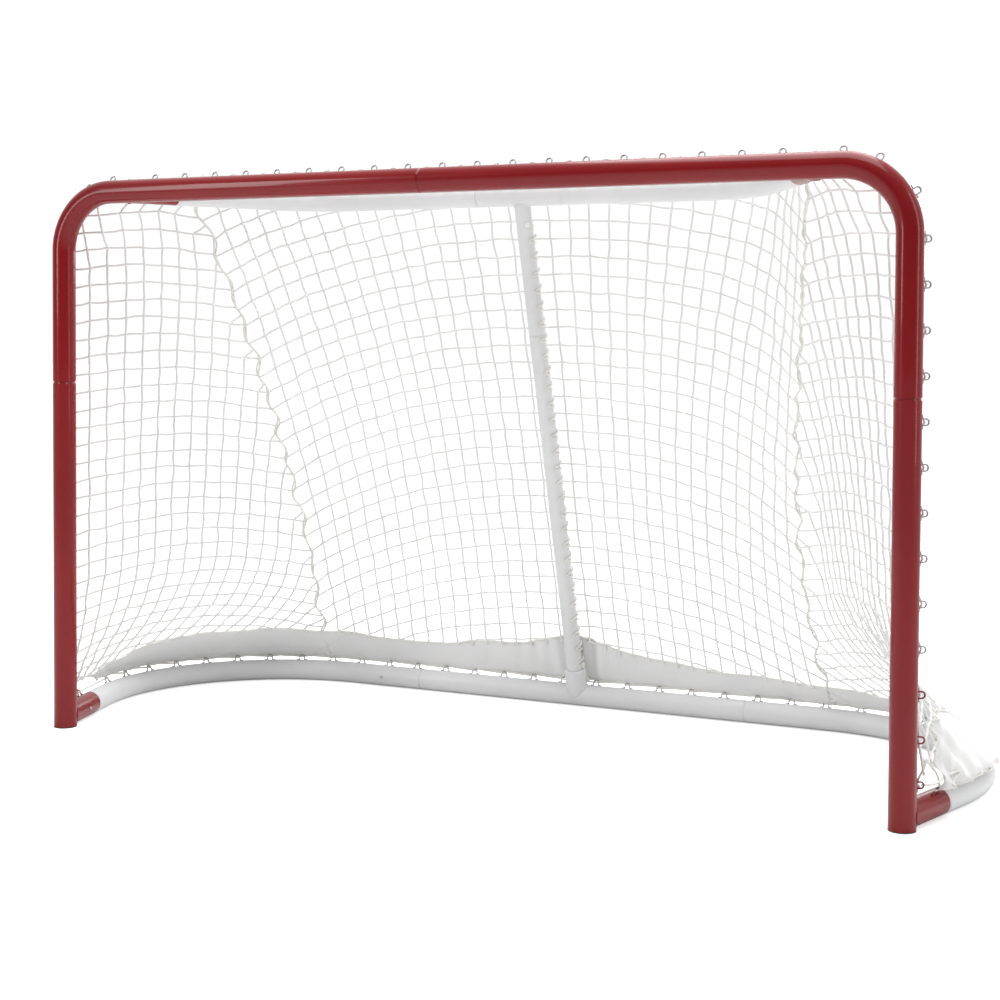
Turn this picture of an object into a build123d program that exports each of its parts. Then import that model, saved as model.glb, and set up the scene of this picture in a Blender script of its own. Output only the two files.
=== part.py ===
from build123d import *
from math import cos, hypot, radians, sin
import os

# A full-size hockey goal: a knock-down steel tube frame with a laced-on net.
# X runs across the goal, Y from the goal line to the back, Z up. Millimetres.
# It is drawn about the centre of the goal line and moved at the end, so that
# the origin is on the floor under the middle of the goal's footprint.

# ---------------------------------------------------------------- frame sizes
OPENING_WIDTH = 1828.8  # clear width between the posts, 72 in
OPENING_HEIGHT = 1168.4  # floor to the underside of the crossbar, 46 in
TUBE_OD = 50.8  # posts, crossbar, base and top bar, 2 in
TUBE_WALL = 1.5
BRACE_OD = 38.1  # the strut behind the net's middle, 1 1/2 in
BEND_RADIUS = 127.0  # upper corners, on the tube's centreline
POST_SEAM_HEIGHT = 775.0  # where a lower post enters an upper corner
CROSSBAR_SEAM_X = -38.0  # the crossbar's joint, a little left of the middle

BASE_DEPTH = 735.0  # goal line to the base's back run, on centrelines
BASE_SPLAY = 204.0  # how far the base's sides would run out by the back run
BASE_CORNER_RADIUS = 404.0
BASE_STUB_LENGTH = 140.0  # red stub welded to each post's foot
BASE_SEAM_X = 420.0  # where the base's middle piece ends, each side

TOP_DEPTH = 395.0  # goal line to the top bar's back run, on centrelines
TOP_STUB_X = 770.0  # where the top bar leaves the crossbar, each side
TOP_TAPER = 237.0  # how far the top bar's sides run in by its back run
TOP_CORNER_RADIUS = 200.0
TOP_STUB_LENGTH = 118.0  # red stub welded to the crossbar
TOP_SEAM_X = 103.0  # where the top bar's middle piece ends, each side

BRACE_STUB_LENGTH = 318.0  # brace stub hanging from the top bar
SOCKET_OD = 50.8  # brace socket standing on the base
SOCKET_HEIGHT = 70.0  # its mouth above the base tube's centreline
SOCKET_DEPTH = 40.0

# ------------------------------------------------------------ telescoped ends
JOINT_CLEARANCE = 0.3  # radial, between a necked end and the tube around it
SEAM_GAP = 1.0
NECK_LENGTH = 4.0  # cone from the full tube down to the necked end
END_CHAMFER = 0.8
POST_INSERTION = 140.0
CROSSBAR_INSERTION = 140.0
BASE_INSERTION = 140.0
BASE_STUB_INSERTION = 95.0
TOP_INSERTION = 100.0
TOP_STUB_INSERTION = 70.0
BRACE_INSERTION = 100.0
WELD_SETBACK = 4.0  # a welded stub's bore stops this short of the other tube

# -------------------------------------------------------------- snap buttons
BUTTON_RADIUS = 3.9
BUTTON_HOLE_CLEARANCE = 0.3
BUTTON_FROM_TIP = 35.0  # button's centre from the tip of the necked end
BUTTON_PROUD = 2.5  # how far it stands out of the outer tube
FLANGE_RADIUS = 6.0
FLANGE_THICKNESS = 1.5
SPRING_WIDTH = 7.0
SPRING_THICKNESS = 1.0
SPRING_LENGTH = 45.0
RUNNING_GAP = 0.3

# ------------------------------------------------------------ feet and hooks
PLUG_FLANGE = 2.0
PLUG_DEPTH = 25.0
WIRE_RADIUS = 1.6
HOOK_INNER_RADIUS = 4.4
HOOK_HEIGHT = 15.0  # wire's outer edge above the tube's surface
HOOK_FOOT = 7.0
WELD_SINK = 0.4
CROSSBAR_HOOK_PITCH = 78.0
CROSSBAR_HOOKS_PER_SIDE = 9
END_HOOK_X = 815.0
BEND_HOOK_ANGLES = (26.0, 60.0)  # round the upper bend, from the crossbar's end
CROSSBAR_HOOK_LEAN = 25.0  # from straight up, towards the back
FIRST_POST_HOOK_Z = 81.0
POST_HOOK_PITCH = 81.5
POST_HOOKS = 13
POST_HOOK_LEAN = 30.0  # from straight sideways, towards the back
FIRST_BASE_HOOK_X = 42.0
BASE_HOOK_PITCH = 80.0
BASE_HOOKS_PER_SIDE = 17
BASE_HOOK_LEAN = 25.0  # from straight up, outwards
STUB_HOOK = 105.0  # on the base's red stub, from the post's centre

# --------------------------------------------------------- net, skirt, lacing
NET_THICKNESS = 4.0
NET_STANDOFF = 27.2  # from the centreline of the tubes it is drawn over
SIDE_NET_START = 38.0  # along the base, from the post's centre
SEAM_FROM_CROSSBAR = 170.0  # along the top bar, to the head of a net seam
SEAM_FOOT_X = 600.0
SIDE_NET_TOP = 1164.0  # under the top bar's stub
NET_EDGE = (5.0, 30.0)  # a side net's front edge, across and back from the post's centre
FLARE_HEIGHT = 330.0  # the side nets spread out over the base below this height
FLARE_SECTIONS = 6
TOP_NET_FRONT = 30.0
SKIRT_TOP = 125.0
SKIRT_BOTTOM = 70.0
SEW_GAP = 0.3
SEAM_CORD_RADIUS = 4.0
SEAM_TRIM = 5.0  # from a seam's line to the edge of the back net
SIDE_SEAM_TRIM = 5.8  # and to the edge of a side net, which meets it at an angle
LACE_RADIUS = 2.0
POST_LACE_LEAN = 65.0  # behind the hooks, from straight sideways
CROSSBAR_LACE_LEAN = 60.0  # behind the hooks, from straight up
CROSSBAR_LACE_END = 722.0  # short of the top bar's stub
BRACE_LACE_THICKNESS = 3.2
BRACE_LACE_START = 62.0  # along the brace, from the top bar's centreline

POST_X = OPENING_WIDTH / 2 + TUBE_OD / 2
BAR_Z = OPENING_HEIGHT + TUBE_OD / 2
BASE_Z = TUBE_OD / 2
TUBE_R = TUBE_OD / 2
BORE_R = TUBE_R - TUBE_WALL
UP = Vector(0, 0, 1)
BACK = Vector(0, 1, 0)


# -------------------------------------------------------------------- helpers
def along(origin, direction, x_dir=None):
    """A plane at a point whose normal is the given direction."""
    return Plane(origin=origin, z_dir=direction, x_dir=x_dir)


def rod(start, end, radius):
    """A solid round bar between two points."""
    span = Vector(*end) - Vector(*start)
    return extrude(along(start, span) * Circle(radius), span.length)


def swept(path, radius):
    """A solid round bar along a path."""
    return sweep(along(path @ 0, path % 0) * Circle(radius), path=path)


def pipe(path, radius, wall):
    """A hollow tube along a path."""
    ring = Circle(radius) - Circle(radius - wall)
    return sweep(along(path @ 0, path % 0) * ring, path=path)


def necked_end(seam, direction, length, radius):
    """The necked male end that leaves a tube at its seam."""
    slim = radius - TUBE_WALL - JOINT_CLEARANCE
    tip = length - NECK_LENGTH
    start = seam - direction * NECK_LENGTH
    neck = along(start, direction) * Pos(Z=NECK_LENGTH / 2) * Cone(radius, slim, NECK_LENGTH)
    barrel = rod(seam, seam + direction * tip, slim)
    nose = along(seam + direction * tip, direction) * Pos(Z=NECK_LENGTH / 2)
    nose = nose * Cone(slim, slim - END_CHAMFER, NECK_LENGTH)
    bore = rod(start - direction, seam + direction * (length + 1), slim - TUBE_WALL)
    return neck + barrel + nose - bore


def mouth(end, direction, radius):
    """A ring that takes the sharp outer edge off a tube's open end."""
    start = end - direction * END_CHAMFER
    block = rod(start, end, radius + 1)
    cone = along(start, direction) * Pos(Z=END_CHAMFER / 2)
    return block - cone * Cone(radius, radius - END_CHAMFER, END_CHAMFER)


def mirrored(shape):
    return mirror(shape, about=Plane.YZ)


def single(shape):
    """The one solid of a fused shape."""
    solids = shape.solids()
    assert len(solids) == 1, f"expected one solid, found {len(solids)}"
    return solids[0]


# ----------------------------------------------------------- frame centrelines
def unit(dx, dy):
    size = hypot(dx, dy)
    return Vector(dx / size, dy / size, 0)


POST_FOOT = Vector(POST_X, 0, BASE_Z)
BASE_DIR = unit(BASE_SPLAY, BASE_DEPTH)
BASE_SEAM = POST_FOOT + BASE_DIR * BASE_STUB_LENGTH
TOP_START = Vector(TOP_STUB_X, 0, BAR_Z)
TOP_DIR = unit(-TOP_TAPER, TOP_DEPTH)
TOP_SEAM = TOP_START + TOP_DIR * TOP_STUB_LENGTH
BRACE_TOP = Vector(0, TOP_DEPTH, BAR_Z)
BRACE_FOOT = Vector(0, BASE_DEPTH, BASE_Z)
BRACE_DOWN = (BRACE_FOOT - BRACE_TOP).normalized()
BRACE_BACK = BRACE_DOWN.cross(Vector(1, 0, 0))
BRACE_BACK = BRACE_BACK if BRACE_BACK.Y > 0 else BRACE_BACK * -1
BRACE_SEAM = BRACE_TOP + BRACE_DOWN * BRACE_STUB_LENGTH
SOCKET_MOUTH = BRACE_FOOT - BRACE_DOWN * SOCKET_HEIGHT


def corner_of(origin, heading, depth, offset):
    """Where a side run and the back run meet, both moved outwards by an offset."""
    side = Vector(heading.Y, -heading.X, 0) * offset
    run = (depth + offset - side.Y - origin.Y) / heading.Y
    return Vector(origin.X + side.X + heading.X * run, depth + offset, 0)


def plan(origin, heading, depth, radius, start, end_x, offset=0.0, z=0.0):
    """The right half of a plan: side run, round corner, back run to end_x."""
    side = Vector(heading.Y, -heading.X, 0) * offset
    first = origin + heading * start + side
    bend = corner_of(origin, heading, depth, offset)
    last = Vector(end_x, depth + offset, 0)
    points = [(p.X, p.Y, z) for p in (first, bend, last)]
    return FilletPolyline(*points, radius=radius + offset)


def base_plan(start, end_x, offset=0.0, z=BASE_Z):
    return plan(POST_FOOT, BASE_DIR, BASE_DEPTH, BASE_CORNER_RADIUS, start, end_x, offset, z)


def top_plan(start, end_x, offset=0.0, z=BAR_Z):
    return plan(TOP_START, TOP_DIR, TOP_DEPTH, TOP_CORNER_RADIUS, start, end_x, offset, z)


# ---------------------------------------------------------------- snap buttons
class Button:
    """A snap button: where it sits, which way it stands out, and its tube."""

    def __init__(self, seam, direction, insertion, outward, radius=TUBE_R):
        self.centre = seam + direction * (insertion - BUTTON_FROM_TIP)
        self.run = direction
        self.outward = outward.normalized()
        self.radius = radius
        self.bore = radius - 2 * TUBE_WALL - JOINT_CLEARANCE
        self.under_wall = (self.bore**2 - FLANGE_RADIUS**2) ** 0.5 - RUNNING_GAP

    def out(self, distance):
        return self.centre + self.outward * distance

    def hole(self):
        beyond = self.radius + BUTTON_PROUD + 1
        return rod(self.centre, self.out(beyond), BUTTON_RADIUS + BUTTON_HOLE_CLEARANCE)

    def solid(self):
        """The button with the flange that keeps it in the tube."""
        top = self.radius + BUTTON_PROUD
        crown = BUTTON_PROUD / 2
        flange = rod(self.out(self.under_wall - FLANGE_THICKNESS), self.out(self.under_wall), FLANGE_RADIUS)
        stem = rod(self.out(self.under_wall), self.out(top - crown), BUTTON_RADIUS)
        dome = Cone(BUTTON_RADIUS, BUTTON_RADIUS * 0.7, crown)
        return flange + stem + along(self.out(top - crown / 2), self.outward) * dome

    def spring(self):
        """The bent leaf that carries it, from the tube's far wall to the flange."""
        half = SPRING_THICKNESS / 2
        high = self.under_wall - FLANGE_THICKNESS - RUNNING_GAP - half
        low = RUNNING_GAP + half - (self.bore**2 - (SPRING_WIDTH / 2) ** 2) ** 0.5
        line = FilletPolyline(
            (0, low), (SPRING_LENGTH * 0.6, low), (SPRING_LENGTH, 0), (0, high), radius=2 * SPRING_THICKNESS
        )
        frame = Plane(origin=line @ 0, z_dir=line % 0, x_dir=(0, 0, 1))
        strip = sweep(frame * Rectangle(SPRING_WIDTH, SPRING_THICKNESS), path=line)
        seat = Plane(origin=self.centre, x_dir=self.run * -1, z_dir=(self.run * -1).cross(self.outward))
        return seat * strip


def both_sides(name, seam, direction, insertion, outward):
    """The matching buttons of the right and left sides."""
    twin = [Vector(-v.X, v.Y, v.Z) for v in (seam, direction, outward)]
    return {
        f"{name}_right": Button(seam, direction, insertion, outward),
        f"{name}_left": Button(twin[0], twin[1], insertion, twin[2]),
    }


RIGHT = Vector(1, 0, 0)
BASE_OUTWARDS = Vector(BASE_DIR.Y, -BASE_DIR.X, 0)
TOP_OUTWARDS = Vector(TOP_DIR.Y, -TOP_DIR.X, 0)
CROSSBAR_SEAM = Vector(CROSSBAR_SEAM_X, 0, BAR_Z)
BASE_MIDDLE_SEAM = Vector(BASE_SEAM_X, BASE_DEPTH, BASE_Z)
TOP_MIDDLE_SEAM = Vector(TOP_SEAM_X, TOP_DEPTH, BAR_Z)
POST_SEAM = Vector(POST_X, 0, POST_SEAM_HEIGHT)
buttons = {
    "crossbar": Button(CROSSBAR_SEAM, RIGHT, CROSSBAR_INSERTION, BACK),
    "base_right": Button(BASE_MIDDLE_SEAM, RIGHT, BASE_INSERTION, BACK),
    "base_left": Button(Vector(-BASE_SEAM_X, BASE_DEPTH, BASE_Z), -RIGHT, BASE_INSERTION, -BACK),
    "brace": Button(BRACE_SEAM, -BRACE_DOWN, BRACE_INSERTION, BRACE_BACK, BRACE_OD / 2),
}
buttons |= both_sides("post", POST_SEAM, UP, POST_INSERTION, BACK)
buttons |= both_sides("base_stub", BASE_SEAM, -BASE_DIR, BASE_STUB_INSERTION, -BASE_OUTWARDS)
buttons |= both_sides("top_stub", TOP_SEAM, -TOP_DIR, TOP_STUB_INSERTION, TOP_OUTWARDS)
buttons |= both_sides("top_bar", TOP_MIDDLE_SEAM, RIGHT, TOP_INSERTION, BACK)


def coped(stem, point, run):
    """A stem cut to sit in the wall of the tube that runs through a point."""
    return stem - rod(point - run * 4 * TUBE_R, point + run * 4 * TUBE_R, TUBE_R - TUBE_WALL / 2)


def drilled(shape, *names):
    """A tube with the holes of the named buttons."""
    for name in names:
        shape = shape - buttons[name].hole()
    return single(shape)


# -------------------------------------------------------------------- red tubes
def upper_corner(inner):
    """Upper post, bend, crossbar as far as a point, and the top bar's stub."""
    outer = Vector(POST_X - BEND_RADIUS - TUBE_R, 0, BAR_Z)
    foot = POST_SEAM + UP * SEAM_GAP
    bend = FilletPolyline(foot, (POST_X, 0, BAR_Z), outer, radius=BEND_RADIUS)
    post = pipe(bend, TUBE_R, TUBE_WALL) - mouth(foot, -UP, TUBE_R) - buttons["post_right"].hole()
    stub_end = TOP_SEAM - TOP_DIR * SEAM_GAP
    oblique_reach = (TUBE_R - BORE_R * TOP_DIR.X) / TOP_DIR.Y
    stub = coped(rod(TOP_START, stub_end, TUBE_R), TOP_START, RIGHT)
    stub = stub - rod(TOP_START + TOP_DIR * (oblique_reach + TUBE_WALL), stub_end, BORE_R)
    stub = stub - mouth(stub_end, TOP_DIR, TUBE_R) - buttons["top_stub_right"].hole()
    bar = rod(inner, outer, TUBE_R) - rod(inner, outer, BORE_R)
    bar = bar - mouth(inner, -RIGHT, TUBE_R) - buttons["crossbar"].hole()
    return single(post + (bar + stub))


def make_upper_corner_right():
    return upper_corner(CROSSBAR_SEAM + RIGHT * SEAM_GAP)


def make_upper_corner_left():
    """The left corner: the mirror image, with the crossbar's necked end."""
    neck = necked_end(CROSSBAR_SEAM, RIGHT, CROSSBAR_INSERTION, TUBE_R) - buttons["crossbar"].hole()
    cut = Vector(NECK_LENGTH - CROSSBAR_SEAM_X, 0, BAR_Z)
    return single(mirrored(upper_corner(cut - RIGHT * END_CHAMFER)) + neck)


def lower_post():
    """Lower post with the base's stub welded to its foot."""
    floor = Vector(POST_X, 0, 0)
    bottom = floor + UP * PLUG_FLANGE
    stub_end = BASE_SEAM - BASE_DIR * SEAM_GAP
    post = rod(bottom, POST_SEAM - UP * NECK_LENGTH, TUBE_R) - rod(bottom, POST_SEAM, BORE_R)
    stub = coped(rod(POST_FOOT, stub_end, TUBE_R), POST_FOOT, UP) - rod(floor - UP, bottom, TUBE_R)
    stub = stub - rod(POST_FOOT + BASE_DIR * (TUBE_R + WELD_SETBACK), stub_end, BORE_R)
    stub = stub - mouth(stub_end, BASE_DIR, TUBE_R)
    return post + stub + necked_end(POST_SEAM, UP, POST_INSERTION, TUBE_R)


def foot_plug():
    floor = Vector(POST_X, 0, 0)
    shoulder = floor + UP * PLUG_FLANGE
    return rod(floor, shoulder, TUBE_R) + rod(shoulder, floor + UP * PLUG_DEPTH, BORE_R - RUNNING_GAP)


# ------------------------------------------------------------------ white tubes
def base_side():
    """Base tube from the post's stub round the corner to the middle piece."""
    end = BASE_MIDDLE_SEAM + RIGHT * SEAM_GAP
    path = base_plan(BASE_STUB_LENGTH + NECK_LENGTH, end.X)
    shape = pipe(path, TUBE_R, TUBE_WALL) - mouth(end, -RIGHT, TUBE_R)
    return shape + necked_end(BASE_SEAM, -BASE_DIR, BASE_STUB_INSERTION, TUBE_R)


def top_bar_side():
    """Top bar from the crossbar's stub round the corner to the middle piece."""
    end = TOP_MIDDLE_SEAM + RIGHT * SEAM_GAP
    path = top_plan(TOP_STUB_LENGTH + NECK_LENGTH, end.X)
    shape = pipe(path, TUBE_R, TUBE_WALL) - mouth(end, -RIGHT, TUBE_R)
    return shape + necked_end(TOP_SEAM, -TOP_DIR, TOP_STUB_INSERTION, TUBE_R)


def middle_run(seam, insertion):
    """A straight middle piece with a necked end each side."""
    left = Vector(-seam.X, seam.Y, seam.Z)
    inset = RIGHT * NECK_LENGTH
    shape = rod(left + inset, seam - inset, TUBE_R) - rod(left, seam, BORE_R)
    return shape + necked_end(seam, RIGHT, insertion, TUBE_R) + necked_end(left, -RIGHT, insertion, TUBE_R)


def make_base_centre():
    """Middle of the base, with the brace's socket standing on it."""
    seat = SOCKET_MOUTH + BRACE_DOWN * SOCKET_DEPTH
    shoulder = SOCKET_MOUTH + BRACE_DOWN * NECK_LENGTH
    socket = coped(rod(BRACE_FOOT, shoulder, SOCKET_OD / 2), BRACE_FOOT, RIGHT)
    rim = Cone(SOCKET_OD / 2, SOCKET_OD / 2 - NECK_LENGTH / 2, NECK_LENGTH)
    socket = socket + along(shoulder, -BRACE_DOWN) * Pos(Z=NECK_LENGTH / 2) * rim
    socket = socket - rod(seat, SOCKET_MOUTH, BRACE_OD / 2 + JOINT_CLEARANCE)
    return drilled(middle_run(BASE_MIDDLE_SEAM, BASE_INSERTION) + socket, "base_left", "base_right")


def make_top_bar_centre():
    """Middle of the top bar, with the brace's stub hanging from it."""
    end = BRACE_SEAM - BRACE_DOWN * SEAM_GAP
    bore_start = BRACE_TOP + BRACE_DOWN * (TUBE_R + WELD_SETBACK)
    stub = coped(rod(BRACE_TOP, end, BRACE_OD / 2), BRACE_TOP, RIGHT)
    stub = stub - rod(bore_start, end, BRACE_OD / 2 - TUBE_WALL) - mouth(end, BRACE_DOWN, BRACE_OD / 2)
    shape = middle_run(TOP_MIDDLE_SEAM, TOP_INSERTION) + stub
    return drilled(shape, "top_bar_left", "top_bar_right", "brace")


def make_brace():
    """The strut: necked into the stub above, seated in the socket below."""
    foot = SOCKET_MOUTH + BRACE_DOWN * (SOCKET_DEPTH - RUNNING_GAP)
    start = BRACE_SEAM + BRACE_DOWN * NECK_LENGTH
    tube = rod(start, foot, BRACE_OD / 2) - rod(start, foot, BRACE_OD / 2 - TUBE_WALL)
    return drilled(tube + necked_end(BRACE_SEAM, -BRACE_DOWN, BRACE_INSERTION, BRACE_OD / 2), "brace")


# -------------------------------------------------------------------- net hooks
def make_hook():
    """A bent wire loop: its feet lie along the tube, its loop stands out."""
    across = HOOK_INNER_RADIUS + WIRE_RADIUS
    tall = HOOK_HEIGHT - 2 * WIRE_RADIUS + WELD_SINK
    half = [(-across - HOOK_FOOT, 0), (-across, 0), (-across, tall)]
    outline = half + [(-x, y) for x, y in reversed(half)]
    bends = [WIRE_RADIUS * 1.5, across * 0.98, across * 0.98, WIRE_RADIUS * 1.5]
    points = [(x, 0, y) for x, y in outline]
    return swept(FilletPolyline(*points, radius=bends), WIRE_RADIUS)


HOOK = make_hook()


def hook_at(point, run, outward):
    """A hook on a tube: a point on its centreline, its run and which way out."""
    seat = point + outward * (TUBE_R + WIRE_RADIUS - WELD_SINK)
    return Plane(origin=seat, x_dir=run, z_dir=outward) * HOOK


def leaned(direction, towards, degrees):
    return direction * cos(radians(degrees)) + towards * sin(radians(degrees))


def crossbar_hook(x):
    return hook_at(Vector(x, 0, BAR_Z), RIGHT, leaned(UP, BACK, CROSSBAR_HOOK_LEAN))


def post_hook(z):
    return hook_at(Vector(POST_X, 0, z), UP, leaned(RIGHT, BACK, POST_HOOK_LEAN))


def bend_hook(angle):
    """A hook on the upper bend, at an angle from the crossbar's end."""
    out = leaned(UP, RIGHT, angle)
    run = leaned(RIGHT, -UP, angle)
    centre = Vector(POST_X - BEND_RADIUS, 0, BAR_Z - BEND_RADIUS)
    return hook_at(centre + out * BEND_RADIUS, run, leaned(out, BACK, CROSSBAR_HOOK_LEAN))


def base_hook(distance):
    """A hook on the base's right half, at a distance from the post's centre."""
    whole = base_plan(0, 0)
    point = whole.position_at(distance / whole.length)
    run = whole.tangent_at(distance / whole.length)
    return hook_at(point, run, leaned(UP, Vector(run.Y, -run.X, 0), BASE_HOOK_LEAN))


def hook_nodes():
    """The hooks of every tube that carries some, as lists of solids."""
    whole = base_plan(0, 0).length
    from_middle = [FIRST_BASE_HOOK_X + n * BASE_HOOK_PITCH for n in range(BASE_HOOKS_PER_SIDE)]
    middle = [base_hook(whole - x) for x in from_middle if x < BASE_SEAM_X]
    side = [base_hook(whole - x) for x in from_middle if x > BASE_SEAM_X]
    heights = [FIRST_POST_HOOK_Z + n * POST_HOOK_PITCH for n in range(POST_HOOKS)]
    lower = [post_hook(z) for z in heights if z < POST_SEAM_HEIGHT] + [base_hook(STUB_HOOK)]
    upper = [post_hook(z) for z in heights if z > POST_SEAM_HEIGHT]
    upper += [bend_hook(angle) for angle in BEND_HOOK_ANGLES]
    bar = [n * CROSSBAR_HOOK_PITCH for n in range(1, CROSSBAR_HOOKS_PER_SIDE + 1)] + [END_HOOK_X]
    return {
        "hooks_upper_right": upper + [crossbar_hook(x) for x in [0] + bar],
        "hooks_upper_left": [mirrored(h) for h in upper] + [crossbar_hook(-x) for x in bar],
        "hooks_post_right": lower,
        "hooks_post_left": [mirrored(h) for h in lower],
        "hooks_base_right": side,
        "hooks_base_left": [mirrored(h) for h in side],
        "hooks_base_centre": middle + [mirrored(h) for h in middle],
    }


# ------------------------------------------------------------------ net panels
FOOT_PLAN = base_plan(SIDE_NET_START, SEAM_FOOT_X, NET_STANDOFF, 0)
HEAD_PLAN = top_plan(SEAM_FROM_CROSSBAR, 0, NET_STANDOFF, 0)
SEAM_FOOT = Vector(SEAM_FOOT_X, BASE_DEPTH + NET_STANDOFF, 0)
SEAM_HEAD = HEAD_PLAN.position_at(0)
BEND_START_Z = BAR_Z - BEND_RADIUS


def blend(a, b, t):
    return a * (1 - t) + b * t


def rise(z):
    """How far up the net a height is: 0 at the base tube, 1 at the top bar."""
    return (z - BASE_Z) / (BAR_Z - BASE_Z)


def seam_at(z):
    return blend(SEAM_FOOT, SEAM_HEAD, rise(z))


def flare(z):
    """How far a side net has spread to the base's plan at a height, 0 to 1."""
    return max(0, 1 - (z - SKIRT_BOTTOM) / FLARE_HEIGHT) ** 2


def side_point(z, u):
    """The right side net in plan: u runs from the post to the seam."""
    foot = FOOT_PLAN.position_at(0)
    belly = FOOT_PLAN.position_at(u) - blend(foot, FOOT_PLAN.position_at(1), u)
    edge = Vector(POST_X + NET_EDGE[0], NET_EDGE[1], 0)
    inset = max(0, z - BEND_START_Z) / BEND_RADIUS * (edge.X - TOP_STUB_X - TUBE_R)
    start = blend(edge, foot, flare(z)) - RIGHT * inset
    return blend(start, seam_at(z), u) + belly * flare(z)


def back_point(z, u):
    """The back net in plan: u runs from the right seam to the left one."""
    away = abs(2 * u - 1)
    foot = Vector(SEAM_FOOT_X * away, SEAM_FOOT.Y, 0)
    point = blend(foot, HEAD_PLAN.position_at(1 - away), rise(z))
    return Vector(-point.X if u > 0.5 else point.X, point.Y, 0)


def strip(point_at, z, trim, count):
    """A thin curved face at one height, with its ends trimmed for the seams."""
    steps = [n / (count - 1) for n in range(count)]
    nudge = 0.002
    first = trim[0] * nudge / (point_at(z, nudge) - point_at(z, 0)).length
    last = 1 - trim[1] * nudge / (point_at(z, 1) - point_at(z, 1 - nudge)).length
    inner = [point_at(z, first + u * (last - first)) for u in steps]
    chords = [b - a for a, b in zip(inner, inner[1:])]
    runs = [chords[0]] + [a + b for a, b in zip(chords, chords[1:])] + [chords[-1]]
    outer = [p + t.cross(UP).normalized() * NET_THICKNESS for p, t in zip(inner, runs)]
    low = [(p.X, p.Y, z) for p in inner]
    high = [(p.X, p.Y, z) for p in outer]
    sides = [Spline(*low), Line(low[-1], high[-1]), Spline(*reversed(high)), Line(high[0], low[0])]
    return make_face(sides)


def panel(point_at, heights, trim, count):
    """A net panel or skirt: thin faces at some heights, joined by ruled skins."""
    faces = [strip(point_at, z, trim, count) for z in heights]
    return single(loft(faces, ruled=True))


SKIRT_HEIGHTS = (SKIRT_BOTTOM, SKIRT_TOP - SEW_GAP)


def side_net():
    flare_top = SKIRT_BOTTOM + FLARE_HEIGHT
    step = (flare_top - SKIRT_TOP) / FLARE_SECTIONS
    heights = [SKIRT_TOP + n * step for n in range(FLARE_SECTIONS + 1)]
    return panel(side_point, heights + [BEND_START_Z, SIDE_NET_TOP], (0, SIDE_SEAM_TRIM), 13)


def side_skirt():
    low, high = SKIRT_HEIGHTS
    return panel(side_point, (low, (low + high) / 2, high), (0, SIDE_SEAM_TRIM), 13)


def make_net_back():
    """The back net, with the mesh parted round the snap buttons under it."""
    net = panel(back_point, (SKIRT_TOP, BAR_Z + TUBE_R), (SEAM_TRIM, SEAM_TRIM), 25)
    for name in ("top_bar_left", "top_bar_right"):
        button = buttons[name]
        net = net - rod(button.centre, button.out(TUBE_OD), FLANGE_RADIUS)
    return single(net)


def make_skirt_back():
    return panel(back_point, SKIRT_HEIGHTS, (SEAM_TRIM, SEAM_TRIM), 25)


def make_net_top():
    """The flat net over the space between the crossbar and the top bar."""
    z = BAR_Z + TUBE_R + SEW_GAP
    right = top_plan(0, 0, NET_STANDOFF, z)
    left = mirrored(right)
    front = Line(right @ 0, left @ 0)
    sheet = extrude(make_face(right.edges() + left.edges() + front.edges()), NET_THICKNESS)
    return single(sheet - Pos(0, TOP_NET_FRONT - BAR_Z, z) * Box(2 * BAR_Z, 2 * BAR_Z, TUBE_OD))


def seam_cord():
    """The heavy cord that laces a side net to the back net."""
    half = NET_THICKNESS / 2
    foot = seam_at(SKIRT_BOTTOM) + UP * SKIRT_BOTTOM + BACK * half
    head = seam_at(SIDE_NET_TOP) + UP * SIDE_NET_TOP + TOP_OUTWARDS * half
    return rod(foot, head, SEAM_CORD_RADIUS)


def make_brace_lacing():
    """The cord wound round the brace, as the sleeve that its turns fill."""
    start = BRACE_TOP + BRACE_DOWN * BRACE_LACE_START
    end = SOCKET_MOUTH - BRACE_DOWN * SEAM_GAP
    inner = BRACE_OD / 2 + SEW_GAP
    sleeve = rod(start, end, inner + BRACE_LACE_THICKNESS) - rod(start, end, inner)
    button = buttons["brace"]
    return single(sleeve - rod(button.centre, button.out(TUBE_OD), FLANGE_RADIUS))


def make_base_lacing():
    """The cord that runs along the base over the tips of its hooks."""
    lean = radians(BASE_HOOK_LEAN)
    tip = TUBE_R + HOOK_HEIGHT
    z = BASE_Z + tip * cos(lean) + WIRE_RADIUS + LACE_RADIUS
    right = base_plan(STUB_HOOK, 0, tip * sin(lean), z)
    whole = Wire(right.edges() + mirrored(right).edges())
    return swept(whole, LACE_RADIUS)


def post_lacing():
    """The cord that runs up a post behind its hooks."""
    out = leaned(RIGHT, BACK, POST_LACE_LEAN) * (TUBE_R + LACE_RADIUS + SEW_GAP)
    foot = Vector(POST_X, 0, FIRST_POST_HOOK_Z) + out
    return rod(foot, foot + UP * (POST_HOOKS - 1) * POST_HOOK_PITCH, LACE_RADIUS)


def make_crossbar_lacing():
    """The cord that runs along the crossbar behind its hooks."""
    out = leaned(UP, BACK, CROSSBAR_LACE_LEAN) * (TUBE_R + LACE_RADIUS + SEW_GAP)
    end = Vector(CROSSBAR_LACE_END, 0, BAR_Z) + out
    return rod(Vector(-end.X, end.Y, end.Z), end, LACE_RADIUS)


# ------------------------------------------------------------------- assembly
def pair(name, shape):
    """The right-hand and left-hand copies of a piece."""
    return {f"{name}_right": shape, f"{name}_left": mirrored(shape)}


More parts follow.
